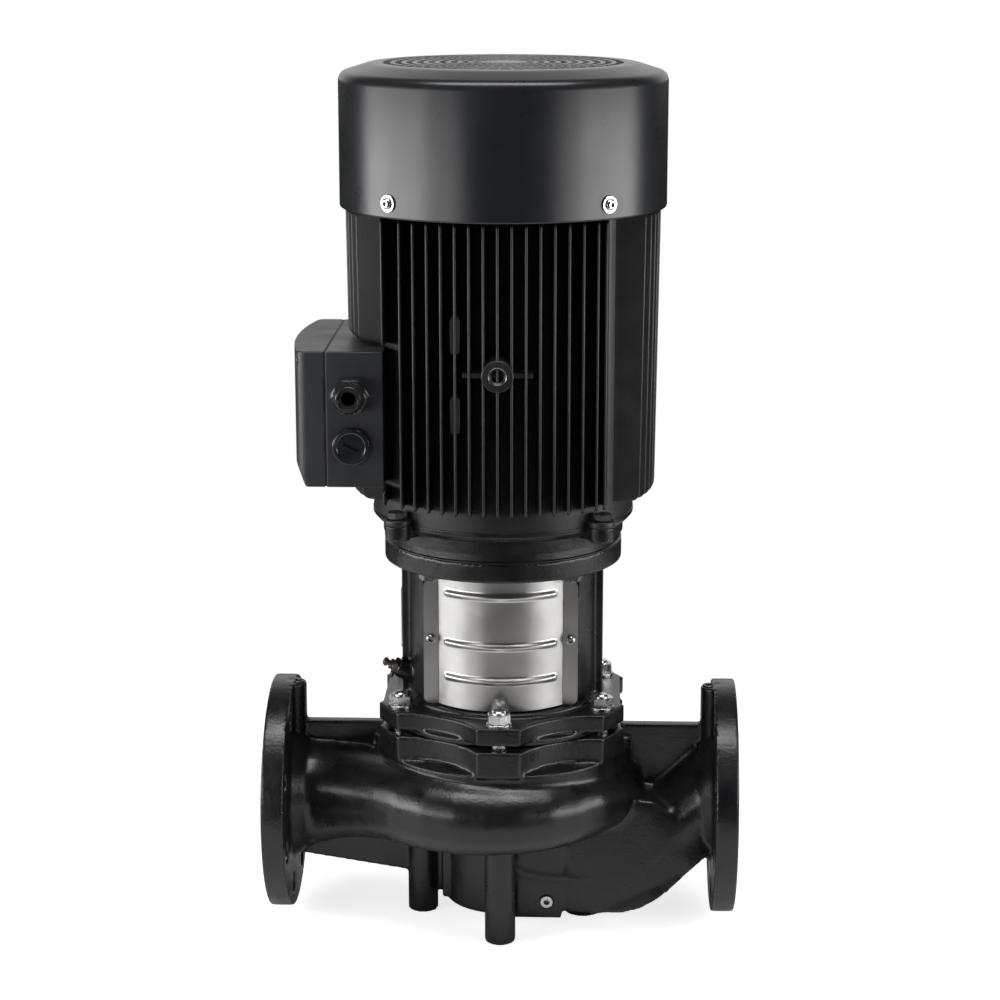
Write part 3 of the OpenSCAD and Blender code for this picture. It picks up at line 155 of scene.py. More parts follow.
def mixOf(nodes, links, fade, first, second):
    mix = nodes.new("ShaderNodeMixShader")
    links.new(fade.outputs["Result"], mix.inputs["Fac"])
    links.new(first.outputs[0], mix.inputs[1])
    links.new(second.outputs[0], mix.inputs[2])
    return mix


def addFloor(setup):
    bm = bmesh.new()
    bmesh.ops.create_grid(bm, x_segments=4, y_segments=4, size=setup["floorSize"] / 2)
    mesh = bpy.data.meshes.new("studioFloor")
    bm.to_mesh(mesh)
    bm.free()
    floor = bpy.data.objects.new("studioFloor", mesh)
    floor.location = (0, 0, -setup["floorDrop"])
    scene.collection.objects.link(floor)
    mat = bpy.data.materials.new("studioPaper")
    mat.use_nodes = True
    nodes, links = mat.node_tree.nodes, mat.node_tree.links
    paper = nodes["Principled BSDF"]
    paper.inputs["Base Color"].default_value = (*setup["floorColor"], 1)
    paper.inputs["Roughness"].default_value = setup["floorRough"]
    paper.inputs["Specular IOR Level"].default_value = 0.0
    # The paper takes the pump's shadow close by, and further off the eye sees plain white
    glow = nodes.new("ShaderNodeEmission")
    glow.inputs["Strength"].default_value = setup["floorLift"]
    white = nodes.new("ShaderNodeEmission")
    white.inputs["Strength"].default_value = 1
    near = nodes.new("ShaderNodeAddShader")
    links.new(paper.outputs[0], near.inputs[0])
    links.new(glow.outputs[0], near.inputs[1])
    coord = nodes.new("ShaderNodeTexCoord")
    reach = nodes.new("ShaderNodeVectorMath")
    reach.operation = "LENGTH"
    links.new(coord.outputs["Object"], reach.inputs[0])
    fade = fadeOver(nodes, links, reach, setup["shadowReach"])
    seenNow = mixOf(nodes, links, fade, near, white)
    squash = nodes.new("ShaderNodeMapping")
    squash.inputs["Scale"].default_value = setup["tableShape"]
    links.new(coord.outputs["Object"], squash.inputs["Vector"])
    tableReach = nodes.new("ShaderNodeVectorMath")
    tableReach.operation = "LENGTH"
    links.new(squash.outputs["Vector"], tableReach.inputs[0])
    edge = fadeOver(nodes, links, tableReach, setup["tableEdge"])
    room = nodes.new("ShaderNodeBsdfDiffuse")
    room.inputs["Color"].default_value = (*setup["roomColor"], 1)
    table = mixOf(nodes, links, edge, paper, room)
    path = nodes.new("ShaderNodeLightPath")
    final = nodes.new("ShaderNodeMixShader")
    links.new(path.outputs["Is Camera Ray"], final.inputs["Fac"])
    links.new(table.outputs[0], final.inputs[1])
    links.new(seenNow.outputs[0], final.inputs[2])
    links.new(final.outputs[0], nodes["Material Output"].inputs["Surface"])
    mesh.materials.append(mat)


addCamera(cameraSetup)
for lampName, lampValues in lampSetup.items():
    addLamp(lampName, *lampValues)
addRoom(backdropSetup)
addFloor(backdropSetup)
scene.view_settings.view_transform = "Standard"
print("camera, lamps and floor ready")

# color and dark are the two shades of the mottling, and grain and coarse are cells to a metre
finishes = {
    "cast_paint": dict(color=(0.0095, 0.0098, 0.0108), dark=(0.0055, 0.0057, 0.0064), mottle=55,
                       rough=(0.25, 0.37), grain=430, depth=0.00017, coarse=120, coarseDepth=0.00014),
    "motor_paint": dict(color=(0.0150, 0.0155, 0.0168), dark=(0.0110, 0.0113, 0.0122), mottle=40,
                        rough=(0.36, 0.46), grain=900, depth=0.00008, coarse=160, coarseDepth=0.00006),
    "cover_paint": dict(color=(0.0150, 0.0158, 0.0185), dark=(0.0130, 0.0137, 0.0160), mottle=30,
                        rough=(0.27, 0.32), grain=2400, depth=0.00002, coarse=25, coarseDepth=0.00004),
    "box_paint": dict(color=(0.0255, 0.0268, 0.0300), dark=(0.0215, 0.0226, 0.0255), mottle=35,
                      rough=(0.40, 0.50), grain=1900, depth=0.00004, coarse=60, coarseDepth=0.00003),
    "stainless": dict(color=(0.62, 0.61, 0.59), dark=(0.54, 0.53, 0.51), mottle=30, metallic=1.0,
                      rough=(0.27, 0.33), grain=(30, 30, 3200), depth=0.00001, aniso=0.60),
    "zinc_plate": dict(color=(0.66, 0.67, 0.68), dark=(0.48, 0.49, 0.50), mottle=260, metallic=1.0,
                       rough=(0.18, 0.34), grain=1500, depth=0.00004),
    "shaft_steel": dict(color=(0.55, 0.55, 0.55), dark=(0.46, 0.46, 0.46), mottle=90, metallic=1.0,
                        rough=(0.16, 0.26), grain=(60, 60, 2600), depth=0.00001),
    "bronze": dict(color=(0.20, 0.17, 0.135), dark=(0.09, 0.075, 0.06), mottle=180, metallic=1.0,
                   rough=(0.30, 0.46), grain=900, depth=0.00008),
    "cast_iron_bare": dict(color=(0.20, 0.20, 0.205), dark=(0.12, 0.12, 0.125), mottle=140, metallic=0.9,
                           rough=(0.38, 0.55), grain=800, depth=0.0001),
    "lamination": dict(color=(0.24, 0.245, 0.26), dark=(0.15, 0.155, 0.17), mottle=70, metallic=0.85,
                       rough=(0.35, 0.5), grain=(20, 20, 2000), depth=0.00006),
    "copper": dict(color=(0.50, 0.20, 0.08), dark=(0.32, 0.11, 0.04), mottle=400, metallic=0.7,
                   rough=(0.25, 0.4), grain=1400, depth=0.0002),
    "seal_carbon": dict(color=(0.030, 0.030, 0.032), dark=(0.018, 0.018, 0.02), mottle=120,
                        rough=(0.3, 0.45), grain=1500, depth=0.00003),
    "black_rubber": dict(color=(0.014, 0.014, 0.014), dark=(0.009, 0.009, 0.009), mottle=80,
                         rough=(0.55, 0.7), grain=1300, depth=0.00006),
    "black_plastic": dict(color=(0.022, 0.022, 0.024), dark=(0.016, 0.016, 0.017), mottle=60,
                          rough=(0.38, 0.5), grain=1700, depth=0.00004),
    "gland_plastic": dict(color=(0.020, 0.021, 0.023), dark=(0.014, 0.015, 0.016), mottle=70,
                          rough=(0.16, 0.24), grain=1500, depth=0.00002),
}
mottleSpan = (0.35, 0.68)   # noise between these turns from the dark shade to the light one
polishSpan = (0.3, 0.7)     # and between these from the smoother to the rougher
brushTurn = 0.25            # metal is brushed around, so its gloss spreads up and down


def paintBase(nodes, links, bsdf, coord, f):
    patches = nodes.new("ShaderNodeTexNoise")
    patches.inputs["Scale"].default_value = f["mottle"]
    patches.inputs["Detail"].default_value = 4
    patches.inputs["Roughness"].default_value = 0.55
    links.new(coord.outputs["Object"], patches.inputs["Vector"])
    shades = nodes.new("ShaderNodeValToRGB")
    shades.color_ramp.elements[0].position = mottleSpan[0]
    shades.color_ramp.elements[0].color = (*f["dark"], 1)
    shades.color_ramp.elements[1].position = mottleSpan[1]
    shades.color_ramp.elements[1].color = (*f["color"], 1)
    links.new(patches.outputs["Fac"], shades.inputs["Fac"])
    links.new(shades.outputs["Color"], bsdf.inputs["Base Color"])
    polish = nodes.new("ShaderNodeMapRange")
    polish.inputs["From Min"].default_value = polishSpan[0]
    polish.inputs["From Max"].default_value = polishSpan[1]
    polish.inputs["To Min"].default_value = f["rough"][0]
    polish.inputs["To Max"].default_value = f["rough"][1]
    links.new(patches.outputs["Fac"], polish.inputs["Value"])
    links.new(polish.outputs["Result"], bsdf.inputs["Roughness"])


def grainBump(nodes, links, coord, scale, depth, below=None):
    grain = nodes.new("ShaderNodeTexNoise")
    grain.inputs["Detail"].default_value = 3
    source = coord.outputs["Object"]
    if isinstance(scale, tuple):
        stretch = nodes.new("ShaderNodeMapping")
        stretch.inputs["Scale"].default_value = scale
        links.new(source, stretch.inputs["Vector"])
        source = stretch.outputs["Vector"]
        grain.inputs["Scale"].default_value = 1
    else:
        grain.inputs["Scale"].default_value = scale
    links.new(source, grain.inputs["Vector"])
    bump = nodes.new("ShaderNodeBump")
    bump.inputs["Strength"].default_value = 1
    bump.inputs["Distance"].default_value = depth
    links.new(grain.outputs["Fac"], bump.inputs["Height"])
    if below is not None:
        links.new(below.outputs["Normal"], bump.inputs["Normal"])
    return bump


def makeFinish(name, f):
    mat = bpy.data.materials.new("finish_" + name)
    mat.use_nodes = True
    nodes, links = mat.node_tree.nodes, mat.node_tree.links
    bsdf = nodes["Principled BSDF"]
    coord = nodes.new("ShaderNodeTexCoord")
    bsdf.inputs["Metallic"].default_value = f.get("metallic", 0.0)
    bsdf.inputs["Anisotropic"].default_value = f.get("aniso", 0.0)
    bsdf.inputs["Anisotropic Rotation"].default_value = brushTurn
    paintBase(nodes, links, bsdf, coord, f)
    bump = None
    if "coarse" in f:
        bump = grainBump(nodes, links, coord, f["coarse"], f["coarseDepth"])
    bump = grainBump(nodes, links, coord, f["grain"], f["depth"], bump)
    links.new(bump.outputs["Normal"], bsdf.inputs["Normal"])
    return mat


finishOf = {name: makeFinish(name, f) for name, f in finishes.items()}
slotOfNode = {}
for part in frame["record"]["subparts"]:
    slotOfNode[part["node"]] = part["material_slot"]
for node, obj in frame["nodes"].items():
    if obj.material_slots:
        for i in range(len(obj.material_slots)):
            obj.material_slots[i].material = finishOf[slotOfNode[node]]
    else:
        obj.data.materials.append(finishOf[slotOfNode[node]])
print("finishes ready:", len(finishOf))


def markCreases(bm, degrees):
    limit = math.radians(degrees)
    for e in bm.edges:
        e.smooth = not (len(e.link_faces) == 2 and e.calc_face_angle(0) > limit)
    for f in bm.faces:
        f.smooth = True


def addPiece(name, bm, finish, nodes=(), body="casing", crease=32):
    bmesh.ops.recalc_face_normals(bm, faces=bm.faces)
    markCreases(bm, crease)
    mesh = bpy.data.meshes.new(name)
    bm.to_mesh(mesh)
    bm.free()
    piece = bpy.data.objects.new(name, mesh)
    scene.collection.objects.link(piece)
    mesh.materials.append(finishOf[finish])
    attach(piece, body)
    if nodes:
        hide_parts(*nodes)
    return piece


def settled(piece):
    graph = bpy.context.evaluated_depsgraph_get()
    mesh = bpy.data.meshes.new_from_object(piece.evaluated_get(graph))
    piece.modifiers.clear()
    piece.data = mesh
    return piece


def turnShape(bm, profileAt, steps=96, place=None):
    # profileAt gives the closed run of (radius, height) in mm at an angle in degrees
    place = place or Matrix.Identity(4)
    rings = []
    for i in range(steps):
        a = math.radians(360 * i / steps)
        rings.append([
            bm.verts.new(place @ Vector((r * math.cos(a) * mm, r * math.sin(a) * mm, h * mm)))
            for r, h in profileAt(360 * i / steps)
        ])
    count = len(rings[0])
    for i in range(steps):
        one, two = rings[i], rings[(i + 1) % steps]
        for j in range(count - 1):
            bm.faces.new([one[j], two[j], two[j + 1], one[j + 1]])
    made = [v for ring in rings for v in ring]
    bmesh.ops.remove_doubles(bm, verts=made, dist=1e-7)


def sweepRound(bm, profile, steps=96, place=None):
    turnShape(bm, lambda angle: profile, steps, place)


def fillet(points, cuts=5):
    # points are (r, h) or (r, h, radius), and a radius rounds that corner
    out = []
    for i, point in enumerate(points):
        if len(point) < 3:
            out.append(tuple(point))
            continue
        p = Vector(point[:2])
        a = Vector(points[i - 1][:2]) - p
        b = Vector(points[(i + 1) % len(points)][:2]) - p
        reach = min(point[2] / math.tan(a.angle(b) / 2), a.length * 0.49, b.length * 0.49)
        start, end = p + a.normalized() * reach, p + b.normalized() * reach
        for k in range(cuts + 1):
            t = k / cuts
            q = start * (1 - t) ** 2 + p * 2 * t * (1 - t) + end * t * t
            out.append((q.x, q.y))
    return out


def prism(bm, outline, low, high, place=None):
    place = place or Matrix.Identity(4)
    base = [bm.verts.new(place @ Vector((x * mm, y * mm, low * mm))) for x, y in outline]
    top = [bm.verts.new(place @ Vector((x * mm, y * mm, high * mm))) for x, y in outline]
    n = len(outline)
    for i in range(n):
        bm.faces.new([base[i], base[(i + 1) % n], top[(i + 1) % n], top[i]])
    bm.faces.new(base[::-1])
    bm.faces.new(top)


def box(bm, low, high, place=None):
    outline = [(low[0], low[1]), (high[0], low[1]), (high[0], high[1]), (low[0], high[1])]
    prism(bm, outline, low[2], high[2], place)


def axisPlace(x, y, z, towards):
    turn = Vector(towards).to_track_quat("Z", "Y").to_matrix().to_4x4()
    return Matrix.Translation(Vector((x, y, z)) * mm) @ turn


def axisFront():
    # Local X stays X, local Y is up and local Z comes out at the viewer
    return Matrix(((1, 0, 0, 0), (0, 0, -1, 0), (0, 1, 0, 0), (0, 0, 0, 1)))


def axisLeft():
    # Local X runs to the back, local Y is up and local Z comes out at the left
    return Matrix(((0, 0, -1, 0), (1, 0, 0, 0), (0, 1, 0, 0), (0, 0, 0, 1)))


def polar(radius, degrees):
    a = math.radians(degrees)
    return radius * math.cos(a), radius * math.sin(a)


def roundCorner(cx, cy, radius, start, step, count):
    # Points on a corner's arc, from one angle on in even steps
    return [(cx + x, cy + y) for x, y in (polar(radius, start + step * k) for k in range(count))]


def onCircle(radius, angle, z=0):
    return Matrix.Rotation(math.radians(angle), 4, "Z") @ Matrix.Translation(Vector((radius, 0, z)) * mm)


def loft(bm, rings):
    loops = [[bm.verts.new(Vector(p) * mm) for p in ring] for ring in rings]
    n = len(loops[0])
    for one, two in zip(loops, loops[1:]):
        for i in range(n):
            bm.faces.new([one[i], one[(i + 1) % n], two[(i + 1) % n], two[i]])
    bm.faces.new(loops[0][::-1])
    bm.faces.new(loops[-1])


hexSetup = {"crown": 0.95, "chamferDegrees": 30}   # crown is a share of the distance to the flats


def hexReach(flat, angle):
    # How far a hexagon reaches at an angle when its flats stand this far off
    return flat / math.cos(math.radians((angle % 60) - 30))


def hexShape(bm, place, across, low, high, bore=0.0):
    # A nut or bolt head with its corners turned off at both ends
    flat = across / 2
    crown = flat * hexSetup["crown"]
    slope = math.tan(math.radians(hexSetup["chamferDegrees"]))

    def profileAt(angle):
        corner = hexReach(flat, angle)
        cut = (corner - crown) * slope
        return [(bore, low), (crown, low), (corner, low + cut), (corner, high - cut), (crown, high),
                (bore, high)] + ([(bore, low)] if bore else [])

    turnShape(bm, profileAt, 48, place)


meltSetup = {
    "weld": 0.00002,      # metres
    "quickCells": 1.7,
    "factor": 0.5,
}


def castPiece(name, node, finish, setup):
    # A cast part: the frame's shape with its sharp corners melted into fillets
    mesh = frame["nodes"][node].data.copy()
    mesh.name = name
    mesh.materials.clear()
    bm = bmesh.new()
    bm.from_mesh(mesh)
    for low, high in setup.get("fill", ()):
        for side in (-1, 1):
            near, far = sorted((side * low[0], side * high[0]))
            box(bm, (near, low[1], low[2]), (far, high[1], high[2]))
    for outline, back in setup.get("webs", ()):
        backRing = [(x, -back, z) for x, z, front in outline]
        frontRing = [(x, -front, z) for x, z, front in outline]
        loft(bm, [backRing, frontRing])
    bm.to_mesh(mesh)
    bm.free()
    piece = bpy.data.objects.new(name, mesh)
    scene.collection.objects.link(piece)
    weld = piece.modifiers.new("weld", "WELD")
    weld.merge_threshold = meltSetup["weld"]
    skin = piece.modifiers.new("skin", "REMESH")
    skin.mode = "VOXEL"
    skin.voxel_size = setup["voxel"] * mm * 1
    skin.use_smooth_shade = True
    melt = piece.modifiers.new("melt", "SMOOTH")
    melt.factor = meltSetup["factor"]
    melt.iterations = setup["melt"]
    if "round" in setup:
        settled(piece)
        low, high, inner, outer, times = setup["round"]
        belly = piece.vertex_groups.new(name="belly")
        chosen = [v.index for v in piece.data.vertices
                  if low < v.co.z / mm < high and inner < v.co.xy.length / mm < outer]
        belly.add(chosen, 1, "REPLACE")
        soften = piece.modifiers.new("soften", "SMOOTH")
        soften.vertex_group = "belly"
        soften.factor = meltSetup["factor"]
        soften.iterations = times
    lean = piece.modifiers.new("lean", "DECIMATE")
    lean.ratio = setup["keep"]
    settled(piece)
    piece.data.materials.clear()
    piece.data.materials.append(finishOf[finish])
    for p in piece.data.polygons:
        p.use_smooth = True
    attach(piece, "casing")
    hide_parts(node)
    return piece


# fill lists boxes that are drawn on both sides, and webs lists flat walls: (x, z, front) points and a back.
# round is a belt to smooth: low, high, inner and outer radius, times.
castings = {
    "scrollCasting": ("pump_housing", "cast_paint", dict(
        voxel=1.5, melt=4, keep=0.35,
        fill=[((78, -41, 162), (101, 41, 180.4))],
        round=(72, 152, 106, 176, 50),
        webs=[([(50, 18, 48), (80, 17.5, 53), (105, 19.5, 55), (119, 24, 56), (131, 31, 56),
                (142, 39.5, 56), (152, 49, 55), (163, 59.5, 53), (172, 67, 51), (178, 71, 50),
                (178, 86, 46), (150, 103, 47), (130, 117, 46), (113, 119, 46), (50, 84, 48)], 8),
              ([(-52, 17.5, 20), (-15, 17.5, 20), (-15, 61, 20), (-52, 61, 20)], 2)])),
    "stoolCasting": ("motor_stool", "cast_paint", dict(
        voxel=1.3, melt=2, keep=0.35,
        fill=[((80, -41, 186.1), (100.5, 41, 200.9))])),
    "boxBase": ("terminal_box", "box_paint", dict(voxel=1.0, melt=2, keep=0.25)),
    "boxLid": ("terminal_cover", "box_paint", dict(voxel=1.0, melt=3, keep=0.3)),
}
for castName, (castNode, castFinish, castSetup) in castings.items():
    castPiece(castName, castNode, castFinish, castSetup)
print("castings ready")

quarterAngles = (45, 135, 225, 315)   # where the motor's lugs and flange bolts stand

frameSetup = {
    "foot": 366, "top": 622, "barrel": 109, "bore": 101,
    "finFoot": 381.5, "finTop": 616, "reachLow": 127, "reachHigh": 129.5,
    "count": 8, "sideCount": 5, "pitch": 11.2, "tip": 2.2, "root": 2.9,
    "lastRight": 85.0, "lastLeft": -93.5,   # the outermost front fins stand off the even pitch
    "corner": 7, "topCorner": 2.5,
    "boxGap": (394, 512.5),          # no fins behind the terminal box between these heights
    "bossHeight": 497.5, "bossRadius": 12.75, "boltHole": 5.1,
    "padFin": -3, "padHeights": (465, 529), "padHalf": 11, "padRadius": 4,
    "lugCircle": 117, "lugRadius": 11, "lugLow": 366.5, "lugTop": 372,
}


def finReach(z, setup):
    t = (z - setup["finFoot"]) / (setup["finTop"] - setup["finFoot"])
    return setup["reachLow"] + (setup["reachHigh"] - setup["reachLow"]) * t


def addFin(bm, offset, side, low, high, setup):
    corner, topCorner = setup["corner"], setup["topCorner"]
    levels = []
    for i in range(6):
        a = math.radians(18 * i)
        levels.append((low + corner * (1 - math.cos(a)), corner * (1 - math.sin(a))))
    for i in range(4):
        a = math.radians(30 * i)
        levels.append((high - topCorner * (1 - math.sin(a)), topCorner * (1 - math.cos(a))))
    tip, root = setup["tip"] / 2, setup["root"] / 2
    rings = []
    for z, drop in levels:
        out = math.sqrt(finReach(z, setup) ** 2 - offset ** 2) - drop - tip
        barrel = math.sqrt(setup["barrel"] ** 2 - offset ** 2)
        half = [(root + 0.9, barrel - 4), (root + 0.4, barrel + 0.4), (root, barrel + 2), (tip, out)]
        half += roundCorner(0, out, tip, 30, 30, 3)
        section = half + [(-x, y) for x, y in half[-2::-1]]
        if side in ("front", "back"):
            s = -1 if side == "front" else 1
            rings.append([(offset + x, s * y, z) for x, y in section])
        else:
            s = -1 if side == "left" else 1
            rings.append([(s * y, offset + x, z) for x, y in section])
    loft(bm, rings)


def addMotorFrame(setup):
    bm = bmesh.new()
    wall = fillet([(setup["bore"], setup["foot"]), (setup["barrel"], setup["foot"]),
                   (setup["barrel"], setup["top"]), (setup["bore"], setup["top"]),
                   (setup["bore"], setup["foot"])])
    sweepRound(bm, wall, 128)
    spans = [(setup["finFoot"], setup["boxGap"][0]), (setup["boxGap"][1], setup["finTop"])]
    offsets = [k * setup["pitch"] for k in range(1 - setup["count"], setup["count"])]
    for offset in offsets + [setup["lastRight"]]:
        for side in ("front", "back"):
            addFin(bm, offset, side, setup["finFoot"], setup["finTop"], setup)
    for side in ("front", "back"):
        for low, high in spans:
            addFin(bm, setup["lastLeft"], side, low, high, setup)
    for k in range(-setup["sideCount"], setup["sideCount"] + 1):
        addFin(bm, k * setup["pitch"], "right", setup["finFoot"], setup["finTop"], setup)
        for low, high in spans:
            addFin(bm, k * setup["pitch"], "left", low, high, setup)
    # Lifting boss with its tapped hole, on a cross rib
    reach = setup["reachHigh"]
    boss = axisPlace(0, 0, setup["bossHeight"], (0, -1, 0))
    r = setup["bossRadius"]
    hole = setup["boltHole"]
    sweepRound(bm, fillet([(0, 115), (hole, 115), (hole, reach - 2), (hole + 1.8, reach - 0.2),
                           (r, reach - 0.2, 1.2), (r + 1.5, 107), (0, 107)], 3), 64, boss)
    rib = setup["bossHeight"]
    box(bm, (-28, -finReach(rib, setup) + 3, rib - 1.6), (28, -105, rib + 1.6))
    # Moulding pads that thicken one front fin
    padX = setup["padFin"] * setup["pitch"]
    padHalf, padRadius = setup["padHalf"], setup["padRadius"]
    for z in setup["padHeights"]:
        outline = roundCorner(padX, z + padHalf, padRadius, 0, 20, 10)
        outline += roundCorner(padX, z - padHalf, padRadius, 200, 20, 8)
        face = math.sqrt(finReach(z - padHalf - padRadius, setup) ** 2 - padX ** 2) - 0.3
        prism(bm, outline, 100, face, axisFront())
    lugR, lugLow, lugTop = setup["lugRadius"], setup["lugLow"], setup["lugTop"]
    for a in quarterAngles:
        lug = onCircle(setup["lugCircle"], a)
        lugShape = fillet([(0, lugLow), (lugR, lugLow, 0.8), (lugR, lugTop - 0.5, 1.5), (0, lugTop)], 4)
        sweepRound(bm, lugShape, 40, lug)
        box(bm, (-20, -8, 367), (0, 8, 371), lug)
    return addPiece("motorFrame", bm, "motor_paint", ["motor_frame"], crease=38)


addMotorFrame(frameSetup)

bareEdgeSetup = {"inner": 5.15, "outer": 7.3, "height": 497.5, "face": 129.4}


def addBareEdge(setup):
    bm = bmesh.new()
    face, inner, outer = setup["face"], setup["inner"], setup["outer"]
    ring = [(inner, face - 9), (inner, face - 2.0), (outer - 0.3, face - 0.1), (outer, face - 0.02),
            (outer, face - 0.5), (inner + 0.4, face - 2.6), (inner + 0.4, face - 9), (inner, face - 9)]
    sweepRound(bm, ring, 64, axisPlace(0, 0, setup["height"], (0, -1, 0)))
    return addPiece("bossTappedEdge", bm, "zinc_plate")


addBareEdge(bareEdgeSetup)
print("motor frame ready")

coverSetup = {
    "radius": 134.3, "wall": 2, "foot": 618, "shoulder": 724, "top": 733.5,
    "topRadius": 105, "plain": 97,
    "slot": 5, "pitch": 9, "rings": 9,
    "barWidth": 2.4, "outerBars": 54, "innerBars": 27, "innerFrom": 5,
}


def addFanCover(setup):
    bm = bmesh.new()
    r, top, t = setup["radius"], setup["top"], setup["wall"]
    foot, shoulder = setup["foot"], setup["shoulder"]
    skin = fillet([(r - t, foot), (r - 0.7, foot, 0.4), (r, foot + 1.2, 0.8), (r, shoulder + 1.6, 9),
                   (setup["topRadius"] + 4, top, 26), (setup["plain"] + 1.2, top, 0.5),
                   (setup["plain"], top - t), (setup["topRadius"] + 4, top - t, 24),
                   (r - t, shoulder + 0.4, 8), (r - t, foot)], 8)
    sweepRound(bm, skin, 192)
    bars = []
    for i in range(setup["rings"]):
        outer = setup["plain"] - i * setup["pitch"] - setup["slot"]
        inner = outer - (setup["pitch"] - setup["slot"])
        many = setup["outerBars"] if i < setup["innerFrom"] else setup["innerBars"]
        bars.append((outer - 0.6, outer + setup["slot"] + 0.6, many))
        if i == setup["rings"] - 1:
            middle = [(0, top - t), (outer, top - t), (outer, top - 0.05, 0.5), (0, top - 0.05)]
            sweepRound(bm, fillet(middle, 3), 64)
            continue
        sweepRound(bm, fillet([(inner, top - t), (outer, top - t), (outer, top - 0.05, 0.5),
                               (inner, top - 0.05, 0.5), (inner, top - t)], 3), 96)
    for low, high, many in bars:
        half = setup["barWidth"] / 2
        for k in range(many):
            place = Matrix.Rotation(2 * math.pi * (k + 0.5) / many, 4, "Z")
            box(bm, (low, -half, top - t + 0.1), (high, half, top - 0.25), place)
    return addPiece("fanCover", bm, "cover_paint", ["fan_cover"], crease=40)


addFanCover(coverSetup)

coverScrewSetup = {
    "angles": (-130, -50, 50, 130), "seat": 134.35, "height": 630,
    "washer": 7.1, "washerThick": 1.4, "head": 4.6, "headHigh": 3.0, "shank": 2.5, "length": 16,
}


def panHead(bm, place, seat, setup):
    # A domed screw head with a round recess
    head, high = setup["head"], setup["headHigh"]
    shank, end = setup["shank"], seat - setup["length"]
    recess, floor = head * 0.42, seat + 0.9
    sweepRound(bm, fillet([(0, floor), (recess, floor), (recess, seat + high),
                           (head * 0.7, seat + high, 0.4), (head, seat + high * 0.55, 1.0), (head, seat),
                           (shank, seat), (shank, end), (0, end)], 4), 40, place)


def addCoverScrews(setup):
    bm = bmesh.new()
    for a in setup["angles"]:
        turn = math.radians(a)
        place = axisPlace(0, 0, setup["height"], (math.cos(turn), math.sin(turn), 0))
        seat, rim, hole = setup["seat"], setup["washer"], setup["shank"] + 0.3
        top = seat + setup["washerThick"]
        sweepRound(bm, fillet([(hole, seat), (rim, seat), (rim, top, 0.4), (hole, top), (hole, seat)], 3),
                   48, place)
        panHead(bm, place, top, setup)
    return addPiece("fanCoverScrews", bm, "zinc_plate", ["fan_cover_screws"])


addCoverScrews(coverScrewSetup)
print("fan cover ready")

glandSetup = {
    "x": -120, "wall": -82, "height": 474, "bodyAcross": 27.7, "bodyLong": 8, "bodyEnd": 15.4, "bore": 9,
    "nutAcross": 25.6, "nutLong": 9, "nutBore": 12.1, "tip": 24, "mouth": 7.5, "thread": 12, "ribs": 18,
}


def addGland(setup):
    place = axisPlace(setup["x"], setup["wall"], setup["height"], (0, -1, 0))
    bm = bmesh.new()
    bore, end = setup["bore"], setup["bodyEnd"]
    hexShape(bm, place, setup["bodyAcross"], 0.02, setup["bodyLong"], bore)
    sweepRound(bm, [(bore, -8), (setup["thread"], -8), (setup["thread"], end), (bore, end), (bore, -8)],
               48, place)
    addPiece("glandBody", bm, "gland_plastic", ["gland_body"], crease=24)
    bm = bmesh.new()
    seat = setup["bodyLong"] + 0.05
    shoulder = seat + setup["nutLong"]
    nutBore, tip, mouth = setup["nutBore"], setup["tip"], setup["mouth"]
    hexShape(bm, place, setup["nutAcross"], seat, shoulder, nutBore)
    sweepRound(bm, fillet([(nutBore, shoulder - 3), (12.8, shoulder - 0.6), (12.6, shoulder + 2, 3.5),
                           (9.9, tip, 1.8), (mouth + 0.6, tip, 0.5), (mouth, tip - 2.5),
                           (mouth, shoulder - 1), (nutBore, shoulder - 3)], 7), 64, place)
    for k in range(setup["ribs"]):
        turn = place @ Matrix.Rotation(math.radians(360 / setup["ribs"] * k), 4, "Z")
        box(bm, (12.0, -0.55, shoulder - 0.2), (13.1, 0.55, shoulder + 3.2), turn)
    return addPiece("glandNut", bm, "gland_plastic", ["gland_nut"], crease=24)


addGland(glandSetup)

# slot is how long, wide and deep the screwdriver's slot is, and turn its angle
plugSetup = {
    "x": -120, "wall": -82, "height": 431, "radius": 15.5, "thick": 4.5, "thread": 12,
    "slot": (13, 2.2, 2.2), "turn": -23,
}


def addPlug(setup):
    place = axisPlace(setup["x"], setup["wall"], setup["height"], (0, -1, 0))
    bm = bmesh.new()
    r, t = setup["radius"], setup["thick"]
    thread, low = setup["thread"], 0.02
    sweepRound(bm, fillet([(0, -6), (thread, -6), (thread, low), (r, low), (r, t - 0.4, 1.6),
                           (r - 3.4, t, 0.8), (r - 4.4, t - 0.7, 0.5), (0, t - 0.7)], 5), 64, place)
    plug = addPiece("blankingPlug", bm, "gland_plastic", ["blanking_plug"], crease=24)
    long, wide, deep = setup["slot"]
    bm = bmesh.new()
    turn = place @ Matrix.Rotation(math.radians(setup["turn"]), 4, "Z")
    box(bm, (-long / 2, -wide / 2, t - deep), (long / 2, wide / 2, t + 3), turn)
    mesh = bpy.data.meshes.new("slotCutter")
    bmesh.ops.recalc_face_normals(bm, faces=bm.faces)
    bm.to_mesh(mesh)
    bm.free()
    cutter = bpy.data.objects.new("slotCutter", mesh)
    scene.collection.objects.link(cutter)
    cut = plug.modifiers.new("slot", "BOOLEAN")
    cut.operation = "DIFFERENCE"
    cut.object = cutter
    cut.solver = "EXACT"
    bpy.context.view_layer.update()
    settled(plug)
    bpy.data.objects.remove(cutter)
    return plug


addPlug(plugSetup)
print("terminal box fittings ready")

